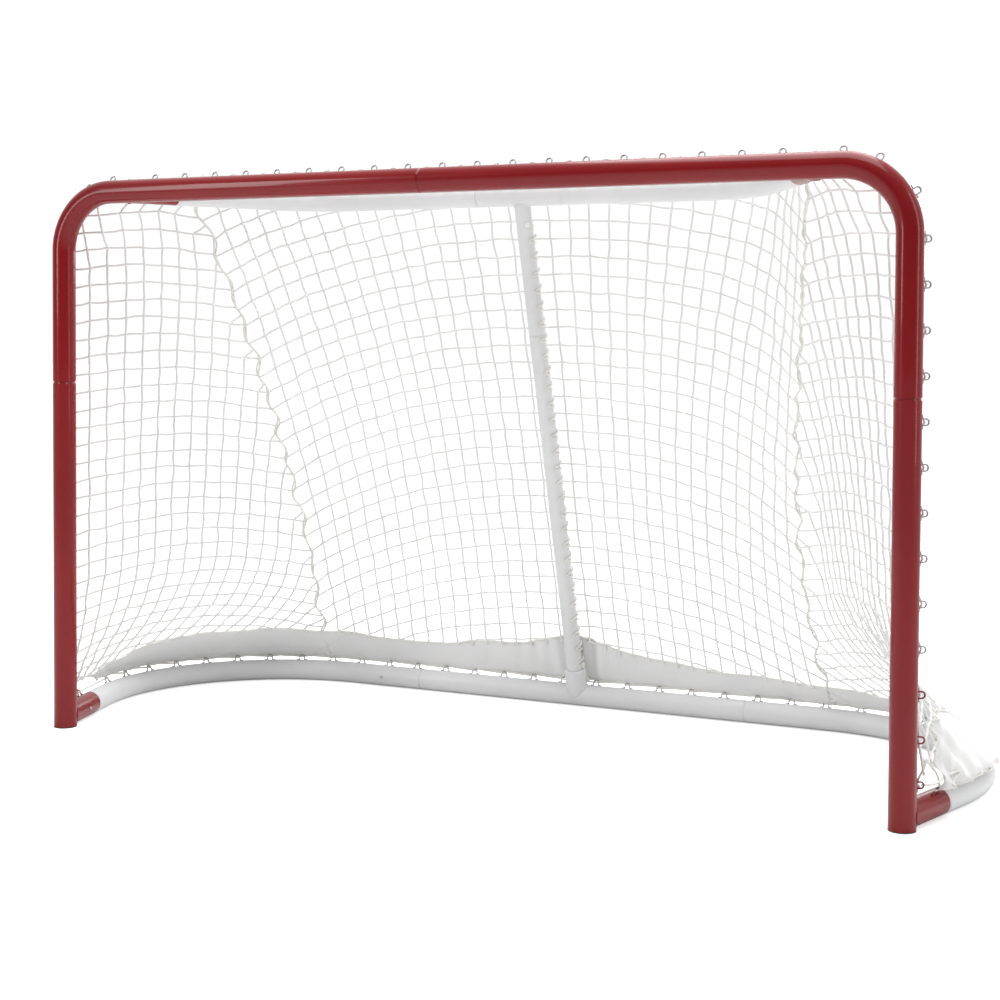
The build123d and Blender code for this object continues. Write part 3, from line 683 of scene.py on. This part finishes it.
def skirt_top(side, s, z=0.1):
    """Height of the skirt's top edge, by the length from the post."""
    share = (s - SKIRT_START[side]) / (half_length(z) - SKIRT_START[side])
    shares, heights = SKIRT_TOP[side]
    return float(np.interp(share, shares, heights)) + 0.002 * math.sin(s * 31)


def seam_weave(z):
    """Which way, and how far, the seam's lacing swings from its line."""
    return 0.0065 * math.sin(2 * math.pi * z / 0.083 + 1.4 * math.sin(z * 9)) + 0.003 * math.sin(z * 47)


def seam_point(side, z, out=0.0):
    return on_net(side, z, seam_mark(side, z) + seam_weave(z), out)


def side_heights():
    """Row heights of a side net: closer together low down, where it billows."""
    heights, z = [], SIDE_TOP - 0.006
    while z > SKIRT_LOW:
        heights.append(z)
        z -= CELL - 0.015 * max(0.0, 1 - z / 0.6) ** 1.6
    return heights


def bend_shift(z):
    """How far a side net's front edge has followed the corner bend inwards."""
    inset = max(0.0, z - BAR_Z + BEND_RADIUS) / BEND_RADIUS
    return 0.85 * inset * (POST_X + NET_EDGE[0] - TOP_START_X - TUBE_R)


def bend_point(side, z):
    """Where a row of a side net is tied behind the corner bend."""
    climb = min(BEND_RADIUS, max(0.0, z - BAR_Z + BEND_RADIUS))
    x = POST_X - BEND_RADIUS + math.sqrt(BEND_RADIUS**2 - climb**2)
    return world(x if side == "right" else -x, NET_EDGE[1], z)


def side_netting(side):
    """A side net: rows from post to seam, and columns cut off by the seam."""
    made = Strands()
    heights = side_heights()
    knots = {}
    for r, z in enumerate(heights):
        end = seam_mark(side, z)
        row = []
        k = 0
        shift = bend_shift(z)
        if shift > 0.004:
            row.append(bend_point(side, z - 0.012))
            k = int(shift / CELL) + 1
        while k * CELL - shift < end - 0.014:
            s = k * CELL - shift + wander(0.0016)
            arch = (0.012 + 0.046 * (1 - rise(z)) ** 1.5) * math.sin(math.pi * min(1.0, s / end))
            lift = z - 0.012 + arch + wander(0.0018)
            if lift > skirt_top(side, s) - 0.004:
                point = on_net(side, lift, max(s, 0), wander(0.002))
                knots[r, k] = point
                row.append(point)
                made.bead(point, (TWINE_R * 1.45, TWINE_R * 1.3), (0.2, 0.3, 1))
            k += 1
        if len(row) > 1:
            if z < seam_skirt(side):
                made.cord(smooth_line(waved(row)), TWINE_R)
            else:
                made.cord(smooth_line(waved(row + [seam_point(side, z - 0.012)])), TWINE_R)
    for k in range(60):
        column = [knots[r, k] for r in range(len(heights)) if (r, k) in knots]
        if not column:
            continue
        s = k * CELL
        low = column[-1][2]
        if low - skirt_top(side, s) < 2 * CELL:
            column.append(on_net(side, skirt_top(side, s) - 0.004, max(s, 0), 0))
        head = next(r for r in range(len(heights)) if (r, k) in knots)
        leaned = s - bend_shift(SIDE_TOP)
        if head == 0:
            column.insert(0, on_net(side, SIDE_TOP + 0.030, max(leaned, 0.0), 0))
        elif leaned < 0:
            over = BEND_RADIUS - (POST_X - abs(column[0][0]))
            up = BAR_Z - BEND_RADIUS + math.sqrt(max(0.0, BEND_RADIUS**2 - max(0.0, over) ** 2))
            column.insert(0, world(column[0][0], NET_EDGE[1], max(up, column[0][2] + 0.008)))
        else:
            column.insert(0, seam_point(side, min(SIDE_TOP, column[0][2] + 0.02)))
        if len(column) > 1:
            made.cord(smooth_line(waved(column)), TWINE_R)
    piece = made.build(f"netting_side_{side}", NETTING)
    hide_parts(f"net_side_{side}")
    return piece


def waved(points):
    """The same line with a slack point between each two, as twine lies."""
    out = [points[0]]
    for a, b in zip(points, points[1:]):
        bow = np.array([wander(0.0014), wander(0.0014), wander(0.0016)])
        out += [(a + b) / 2 + bow, b]
    return out


def seam_skirt(side):
    """Height at which the skirt covers a seam."""
    return skirt_top(side, seam_mark(side, 0.1))


def back_mark(side, share, z):
    """Length from the post to a share of the way from the middle to the seam."""
    middle = half_length(z)
    return middle - share * (middle - seam_mark(side, z))


def back_netting():
    """The back net: rows that fall away towards both seams, and fanned columns."""
    made = Strands()
    top = BAR_Z + TUBE_R * 0.9
    knots = {}
    rows = []
    z = top + ROW_DROP
    while z > SKIRT_LOW:
        rows.append(z)
        z -= CELL * 0.985
    span = range(-BACK_COLUMNS, BACK_COLUMNS + 1)
    for r, z in enumerate(rows):
        row = []
        for j in span:
            side = "right" if j >= 0 else "left"
            share = abs(j) / BACK_COLUMNS
            height = z - ROW_DROP * share**2.3 + wander(0.0018)
            low = skirt_top(side, back_mark(side, share, 0.12))
            if not low - 0.004 < height < top:
                if len(row) > 1:
                    made.cord(smooth_line(waved(row)), TWINE_R)
                row = []
                continue
            if abs(j) == BACK_COLUMNS:
                point = seam_point(side, height)
            else:
                point = on_net(side, height, back_mark(side, share, height) + wander(0.0016), wander(0.002))
                made.bead(point, (TWINE_R * 1.45, TWINE_R * 1.3), (0.2, 0.3, 1))
            knots[r, j] = point
            row.append(point)
        if len(row) > 1:
            made.cord(smooth_line(waved(row)), TWINE_R)
    for j in span:
        if abs(j) == BACK_COLUMNS:
            continue
        side = "right" if j >= 0 else "left"
        share = abs(j) / BACK_COLUMNS
        column = [knots[r, j] for r in range(len(rows)) if (r, j) in knots]
        foot = skirt_top(side, back_mark(side, share, 0.12)) - 0.004
        column.insert(0, on_net(side, top, back_mark(side, share, top)))
        column.append(on_net(side, foot, back_mark(side, share, foot)))
        made.cord(smooth_line(waved(column)), TWINE_R)
    edge = [on_net("right", top, back_mark("right", a, top)) for a in np.linspace(1, 0, 30)]
    edge += [on_net("left", top, back_mark("left", a, top)) for a in np.linspace(0, 1, 30)[1:]]
    made.cord(np.array(edge), TWINE_R * 1.3)
    piece = made.build("netting_back", NETTING)
    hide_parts("net_back")
    return piece


def top_netting():
    """The flat net over the crossbar and the top bar."""
    made = Strands()
    low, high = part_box("net_top")
    z = (low.z + high.z) / 2
    outline = top_plan(0, 0, 0.026)
    points = outline.at(np.linspace(0, outline.length, 200))
    front = low.y - GOAL_Y

    def reach(x):
        """How far back the net goes at a distance from the middle."""
        order = np.argsort(points[:, 0])
        return float(np.interp(abs(x), points[order, 0], points[order, 1]))

    def sagged(x, y):
        deep = math.cos(min(1, abs(x) / 0.75) * math.pi / 2) * math.sin(min(1, max(0, y / 0.4)) * math.pi)
        return world(x, y, z - 0.006 * deep + wander(0.0006))

    widest = points[:, 0].max()
    count = int(widest / CELL)
    for j in range(-count, count + 1):
        x = j * CELL
        end = reach(x)
        if end - front > 0.02:
            steps = max(2, int((end - front) / CELL))
            line = [sagged(x + wander(0.001), y) for y in np.linspace(front, end, steps + 1)]
            made.cord(smooth_line(waved_flat(line)), TWINE_R)
    y = front
    while y < TOP_BACK:
        inside = [p[0] for p in points if p[1] >= y]
        edge = max(inside) if inside else 0
        steps = max(2, int(2 * edge / CELL))
        line = [sagged(x, y + wander(0.001)) for x in np.linspace(-edge, edge, steps + 1)]
        made.cord(smooth_line(waved_flat(line)), TWINE_R)
        y += CELL
    kept = [p for p in points if p[1] >= front]
    rim = [world(p[0], p[1], z) for p in kept]
    made.cord(np.array(rim + mirrored(rim[::-1])[1:]), TWINE_R * 1.3)
    piece = made.build("netting_top", NETTING)
    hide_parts("net_top")
    return piece


def waved_flat(points):
    out = [points[0]]
    for a, b in zip(points, points[1:]):
        out += [(a + b) / 2 + np.array([wander(0.0012), wander(0.0012), 0]), b]
    return out


# ---------------------------------------------------------------------- skirts
def skirt_fold(s, v):
    """How far the skirt's cloth stands proud of its line, by place and height."""
    middle = half_length(0.1) - s
    near = math.exp(-((middle / 0.12) ** 2))
    start = math.exp(-(((s - 0.10) / 0.14) ** 2))
    slow = 0.0022 * math.sin(s * 19 + 2 * v) + 0.0016 * math.sin(s * 47 + 5 * v + 1)
    gather = near * 0.006 * math.sin(s * 150 + 3 * v) * (0.4 + 0.6 * v)
    pucker = start * (0.008 * math.sin(s * 95 + 5 * v) + 0.004 * math.sin(s * 210 - 7 * v))
    tight = 0.0016 * math.sin(2 * math.pi * s / 0.08) * (1 - v)
    return slow + gather + pucker + tight


def hem_height(s):
    """The skirt's lower edge: drawn down at each hook, arched between."""
    return SKIRT_LOW + 0.004 * abs(math.sin(math.pi * (s - 0.03) / 0.08))


def skirt_sheet(name, places, node, lap=0.0):
    """A strip of cloth from a list of (side, length from the post) places."""
    levels = 13
    points, maps, faces = [], [], []
    previous, run = None, 0.0
    for side, s in places:
        low, high = hem_height(s), skirt_top(side, s)
        foot = on_net(side, low, s)
        run += 0.0 if previous is None else float(np.linalg.norm(foot - previous))
        previous = foot
        for i in range(levels):
            v = i / (levels - 1)
            z = low + (high - low) * v
            near_middle = min(1.0, max(0.0, (s - 0.8) / (half_length(SKIRT_LEVEL) - 0.8)))
            along = s + (half_length(z) - half_length(SKIRT_LEVEL)) * near_middle
            points.append(on_net(side, z, along, skirt_fold(s, v) + lap))
            maps.append((run, v * (high - low)))
    for c in range(len(places) - 1):
        for i in range(levels - 1):
            a = c * levels + i
            faces.append((a, a + levels, a + levels + 1, a + 1))
    mesh = bpy.data.meshes.new(name)
    mesh.from_pydata([list(p) for p in points], [], faces)
    layer = mesh.uv_layers.new(name="lay")
    layer.data.foreach_set("uv", np.array([maps[k] for f in faces for k in f], np.float32).ravel())
    piece = finished(mesh, name, CLOTH)
    thick = piece.modifiers.new("cloth_thickness", "SOLIDIFY")
    thick.thickness = CLOTH_THICKNESS
    thick.offset = 0
    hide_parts(node)
    made = Strands()
    grid = np.array(points).reshape(len(places), levels, 3)
    for edge, radius in ((levels - 1, 0.0031), (0, 0.0026)):
        made.cord(smooth_line(grid[:, edge], 2), radius, 8)
    hem = made.build(f"{name}_hem", LACING)
    return piece


def all_skirts():
    for side in ("right", "left"):
        end = seam_mark(side, SKIRT_LEVEL)
        places = [(side, s) for s in np.arange(SKIRT_START[side], end - 0.004, 0.008)]
        places.append((side, end - 0.003))
        skirt_sheet(f"skirt_cloth_{side}", places, f"skirt_side_{side}")
    middle = half_length(SKIRT_LEVEL)
    starts = {side: seam_mark(side, SKIRT_LEVEL) - 0.014 for side in ("right", "left")}
    places = [("right", s) for s in np.arange(starts["right"], middle, 0.008)]
    places += [("left", s) for s in np.arange(starts["left"], middle, 0.008)[::-1]]
    skirt_sheet("skirt_cloth_back", places, "skirt_back", 0.0024)


# ---------------------------------------------------------------------- lacing
def seam_lacing(side):
    """The heavy cord that swings from net to net down a seam."""
    made = Strands()
    heights = np.arange(SKIRT_LOW + 0.01, SIDE_TOP + 0.03, 0.008)
    line = [seam_point(side, z, 0.002 * math.sin(2 * math.pi * z / 0.032)) for z in heights]
    made.cord(smooth_line(line, 2), SEAM_CORD_R)
    lag = []
    for z in heights:
        beside = seam_mark(side, z) + seam_weave(z + 0.006) + 0.0025
        lag.append(on_net(side, z, beside, 0.003 * math.cos(2 * math.pi * z / 0.041)))
    made.cord(smooth_line(lag, 2), TWINE_R)
    foot = line[0]
    made.bead(foot, (0.0065, 0.006))
    made.bead(line[-1], (0.0065, 0.006))
    piece = made.build(f"seam_lacing_{side}", SEAMING)
    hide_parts(f"seam_cord_{side}")


def post_lacing(side):
    """The cord that ties a side net's edge to the hooks of its post."""
    made = Strands()
    loop = np.array([math.cos(POST_HOOK_LEAN), math.sin(POST_HOOK_LEAN)]) * HOOK_REACH
    points = []
    for n in range(POST_HOOKS):
        z = POST_HOOK_FIRST + n * POST_HOOK_PITCH
        points.append(world(POST_X + loop[0] * 0.74, loop[1] * 1.30, z - 0.005))
        points.append(world(POST_X + loop[0] * 0.70, loop[1] * 1.45, z + 0.006))
        if n < POST_HOOKS - 1:
            between = z + POST_HOOK_PITCH / 2
            points.append(on_net("right", between - 0.006, 0.004, 0.003))
            points.append(on_net("right", between + 0.008, 0.002, -0.001))
    points = points if side == "right" else mirrored(points)
    made.cord(smooth_line(points, 5), LACE_R, 8)
    for end in (points[0], points[-1]):
        made.bead(end, (0.0055, 0.005))
    piece = made.build(f"post_tie_cord_{side}", LACING)
    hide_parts(f"post_lacing_{side}")


def crossbar_lacing():
    """The cord along the back of the crossbar's hooks, over the top net's edge."""
    made = Strands()
    lean = BAR_LACE_LEAN
    z = (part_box("net_top")[0].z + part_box("net_top")[1].z) / 2
    hooks = [n * BAR_HOOK_PITCH for n in range(-BAR_HOOKS_PER_SIDE, BAR_HOOKS_PER_SIDE + 1)]
    points = []
    for x in hooks:
        reach = TUBE_R + LACE_R + 0.004
        points.append(world(x - 0.006, reach * math.sin(lean), BAR_Z + reach * math.cos(lean)))
        points.append(world(x + 0.006, reach * math.sin(lean), BAR_Z + reach * math.cos(lean)))
        if x < hooks[-1]:
            points.append(world(x + BAR_HOOK_PITCH * 0.42, 0.031, z + 0.002))
            points.append(world(x + BAR_HOOK_PITCH * 0.58, 0.035, z - 0.001))
    made.cord(smooth_line(points, 5), LACE_R, 8)
    piece = made.build("crossbar_tie_cord", LACING)
    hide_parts("crossbar_lacing")


def base_hook_loops():
    """The middle of each base hook's loop, from the right stub to the left one."""
    whole = base_plan(0, 0, 0)
    lean = BASE_HOOK_LEAN
    marks = [whole.length - BASE_HOOK_FIRST - n * BASE_HOOK_PITCH for n in range(BASE_HOOKS_PER_SIDE)]
    loops = []
    for mark in [STUB_HOOK, *sorted(m for m in marks if m > STUB_CLEAR)]:
        x, y = whole.at(mark)
        step = whole.at(mark + 0.001) - whole.at(mark - 0.001)
        normal = unit(step[1], -step[0])
        side = normal * HOOK_REACH * math.sin(lean)
        run = unit(*step)
        loops.append((world(x + side[0], y + side[1], BASE_Z + HOOK_REACH * math.cos(lean)), run, mark))
    return loops


def base_lacing():
    """The cord that spirals through the base's hooks and over the skirt's hem."""
    made = Strands()
    loops = base_hook_loops()
    half = []
    for n, (loop, run, mark) in enumerate(loops):
        step = np.array([run[0], run[1], 0])
        half += [loop - step * 0.007 + (0, 0, -0.001), loop + step * 0.006 + (0, 0, -0.002)]
        if n < len(loops) - 1:
            nearer = loops[n + 1][2]
            for share, proud, up in ((0.3, 0.0040, 0.005), (0.5, 0.0020, 0.009), (0.7, 0.0040, 0.005)):
                s = mark + (nearer - mark) * share - NET_START
                if s > SKIRT_START["left"]:
                    half.append(on_net("right", hem_height(s) + up - 0.006, s, proud))
    whole = half + mirrored(half[::-1])
    made.cord(smooth_line(whole, 5), LACE_R, 8)
    piece = made.build("base_lacing_cord", LACING)
    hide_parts("base_lacing")


def brace_lacing():
    """The cord that binds the back net along the brace, round its rear."""
    made = Strands()
    top = world(0, TOP_BACK, BAR_Z)
    foot = world(0, BASE_BACK, BASE_Z)
    down = unit(*(foot - top))
    back = unit(*np.cross((1, 0, 0), down))
    back = back if back[1] > 0 else -back
    length = float(np.linalg.norm(foot - top)) - SOCKET_HEIGHT - 0.012
    start, pitch = 0.064, 0.038
    steps = int((length - start) / pitch * 18)
    reach = BRACE_R + LACE_R + 0.0004
    line = []
    for n in range(steps + 1):
        turn = n / 18
        swing = math.radians(52 - 104 * math.cos(2 * math.pi * turn))
        proud = reach + 0.0012 * max(0.0, math.cos(2 * math.pi * turn + 0.6))
        spoke = np.array([1, 0, 0]) * math.cos(swing) + back * math.sin(swing)
        line.append(top + down * (start + turn * pitch) + spoke * proud)
    made.cord(np.array(line), LACE_R, 8)
    made.bead(line[-1] + down * 0.002, (0.006, 0.008), down)
    made.bead(line[0], (0.0055, 0.006), down)
    for n, lean in ((0, 0.5), (1, -0.3)):
        tail = [line[-1] + down * 0.002]
        for k in range(1, 5):
            tail.append(tail[-1] + down * 0.011 + np.array([0.0022 * lean * k + 0.003 * n, 0.001, 0]))
        made.cord(smooth_line(tail), LACE_R * 0.9)
    piece = made.build("brace_wrap_cord", LACING)
    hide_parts("brace_lacing")


# ---------------------------------------------------------------- small details
def weld_beads():
    """Rippled weld fillets where stubs meet posts, crossbar, top bar and base."""
    red, white = Strands(), Strands()

    def round_weld(made, centre, axis, other_axis, stem_r, main_r):
        """A ring of small beads where a stem of one radius meets a tube."""
        axis, other_axis = unit(*axis), unit(*other_axis)
        side = unit(*np.cross(axis, other_axis))
        cross = np.cross(side, axis)
        for k in range(44):
            a = 2 * math.pi * k / 44
            spoke = side * math.cos(a) + cross * math.sin(a)
            away = spoke * stem_r
            level = away - other_axis * (away @ other_axis)
            gap = level - axis * (level @ axis)
            rest = max(0.0, main_r**2 - float(gap @ gap))
            slope = axis - other_axis * float(axis @ other_axis)
            along = math.sqrt(rest) / max(0.2, float(np.linalg.norm(slope)))
            place = centre + away + axis * along
            if place[2] > 0.005:
                made.bead(place, (0.0030, 0.0024), axis)

    for sign in (1, -1):
        base_dir = (BASE_DIR[0] * sign, BASE_DIR[1], 0)
        top_dir = (TOP_DIR[0] * sign, TOP_DIR[1], 0)
        round_weld(red, world(POST_X * sign, 0, BASE_Z), base_dir, (0, 0, 1), TUBE_R * 0.97, TUBE_R)
        round_weld(red, world(TOP_START_X * sign, 0, BAR_Z), top_dir, (1, 0, 0), TUBE_R * 0.97, TUBE_R)
    down = unit(0, BASE_BACK - TOP_BACK, BASE_Z - BAR_Z)
    round_weld(white, world(0, TOP_BACK, BAR_Z), down, (1, 0, 0), BRACE_R, TUBE_R)
    round_weld(white, world(0, BASE_BACK, BASE_Z), -down, (1, 0, 0), SOCKET_R * 0.97, TUBE_R)
    red.build("red_weld_beads", RED_PAINT)
    white.build("white_weld_beads", WHITE_PAINT)


def corner_ties(side):
    """The loose loops that draw a skirt's front end to the post and its stub."""
    made = Strands()
    low_loop = world(POST_X + HOOK_REACH * math.cos(POST_HOOK_LEAN), HOOK_REACH * 0.5, POST_HOOK_FIRST)
    stub_loop = base_hook_loops()[0][0]
    front = SKIRT_START[side]
    skirt_end = on_net("right", hem_height(front) + 0.006, front + 0.012, 0.004)
    routes = [
        [
            low_loop,
            on_net("right", 0.077, 0.030, 0.003),
            on_net("right", 0.083, 0.075, 0.004),
            on_net("right", 0.080, 0.13, 0.004),
            skirt_end,
        ],
        [
            stub_loop + (0, 0, -0.002),
            on_net("right", 0.070, 0.090, 0.003),
            on_net("right", 0.081, 0.13, -0.002),
            skirt_end + (0, 0, 0.004),
        ],
        [
            stub_loop + (0.004, 0.004, 0),
            on_net("right", 0.092, 0.045, 0.002),
            on_net("right", 0.118, 0.02, 0.001),
        ],
    ]
    for route in routes:
        route = route if side == "right" else mirrored(route)
        made.cord(smooth_line(route, 7), LACE_R * 1.05, 8)
        made.bead(np.array(route[-1]), (0.0052, 0.0048))
    tails = [(0.010, 0.014, 0.012), (0.016, 0.004, -0.004), (0.006, 0.016, -0.012)]
    knot = routes[0][-1]
    for tail in tails:
        end = [knot, knot + np.array(tail) * 0.5 + (0.002, 0, 0.002), knot + np.array(tail)]
        end = end if side == "right" else mirrored(end)
        made.cord(smooth_line(end, 5), LACE_R * 0.8)
    piece = made.build(f"corner_ties_{side}", LACING)


for side_name in ("right", "left"):
    side_netting(side_name)
    seam_lacing(side_name)
    post_lacing(side_name)
    corner_ties(side_name)
back_netting()
top_netting()
crossbar_lacing()
base_lacing()
brace_lacing()
all_skirts()
weld_beads()


# ----------------------------------------------------------------------- studio
def studio():
    """A white floor, soft lights, and a world that is white only to the camera."""
    scene = bpy.context.scene
    scene.view_settings.view_transform = "Standard"
    mesh = bpy.data.meshes.new("studio_floor")
    reach = 40.0
    corners = [(-reach, -reach, 0), (reach, -reach, 0), (reach, reach, 0), (-reach, reach, 0)]
    mesh.from_pydata(corners, [], [(0, 1, 2, 3)])
    floor = bpy.data.objects.new("studio_floor", mesh)
    scene.collection.objects.link(floor)
    material, tree, shader = new_material("floor_white")
    shader.inputs["Base Color"].default_value = (0.88, 0.88, 0.88, 1)
    shader.inputs["Roughness"].default_value = 0.9
    shader.inputs["Emission Color"].default_value = (1, 1, 1, 1)
    floor_path = tree.nodes.new("ShaderNodeLightPath").outputs["Is Camera Ray"]
    glow = math_node(tree, "MULTIPLY", floor_path, 0.55)
    tree.links.new(glow, shader.inputs["Emission Strength"])
    mesh.materials.append(material)

    world_light = bpy.data.worlds.new("studio")
    world_light.use_nodes = True
    tree = world_light.node_tree
    background = tree.nodes["Background"]
    path = tree.nodes.new("ShaderNodeLightPath")
    direction = tree.nodes.new("ShaderNodeTexCoord").outputs["Generated"]
    split = tree.nodes.new("ShaderNodeSeparateXYZ")
    tree.links.new(direction, split.inputs[0])
    depth = range_node(tree, split.outputs["Y"], -0.5, 0.6, 0.13, 0.80)
    height = range_node(tree, split.outputs["Z"], 0.1, 0.9, 0.0, 0.42)
    level = math_node(tree, "ADD", depth, height)
    backdrop = math_node(tree, "MULTIPLY", path.outputs["Is Camera Ray"], 1.05)
    seen = math_node(tree, "MAXIMUM", level, backdrop)
    tree.links.new(seen, background.inputs["Strength"])
    background.inputs["Color"].default_value = (1, 1, 1, 1)
    scene.world = world_light

    def soft_box(name, place, aim, size, power):
        light = bpy.data.lights.new(name, "AREA")
        light.shape = "RECTANGLE"
        light.size, light.size_y = size
        light.energy = power
        lamp = bpy.data.objects.new(name, light)
        scene.collection.objects.link(lamp)
        lamp.location = place
        lamp.rotation_euler = (Vector(aim) - Vector(place)).to_track_quat("-Z", "Y").to_euler()

    soft_box("overhead", (0.4, 0.1, 3.6), (0, 0, 0.6), (4.2, 2.2), 92)
    soft_box("right_side", (3.4, -0.6, 1.7), (0, 0, 0.6), (0.5, 2.6), 13)
    soft_box("left_front", (-2.6, -3.2, 2.1), (0, 0, 0.7), (0.8, 2.4), 40)
    soft_box("behind", (0.6, 3.4, 1.9), (0, 0, 0.6), (3.2, 1.6), 44)


EYE_PLACE = (1.62423, -3.13698, 0.87696)
EYE_TURN = (25.36, 2.07, 0.33)  # degrees to the left, down, and leaning


def camera():
    """The eye is right of the goal, a little below the crossbar, level but for 2 degrees."""
    data = bpy.data.cameras.new("view")
    data.sensor_width = 36.0
    data.lens = 63.378
    data.shift_y = -0.0976
    data.clip_start, data.clip_end = 0.05, 200
    eye = bpy.data.objects.new("view", data)
    bpy.context.scene.collection.objects.link(eye)
    yaw, pitch, roll = (math.radians(turn) for turn in EYE_TURN)
    level = Vector((-math.sin(yaw), math.cos(yaw), 0))
    forward = level * math.cos(pitch) - Vector((0, 0, math.sin(pitch)))
    right = Vector((math.cos(yaw), math.sin(yaw), 0))
    up = right.cross(forward)
    across = right * math.cos(roll) + up * math.sin(roll)
    over = up * math.cos(roll) - right * math.sin(roll)
    turn = Matrix((across, over, -forward)).transposed()
    eye.matrix_world = Matrix.Translation(Vector(world(*EYE_PLACE))) @ turn.to_4x4()
    bpy.context.scene.camera = eye


studio()
camera()
bpy.context.view_layer.update()
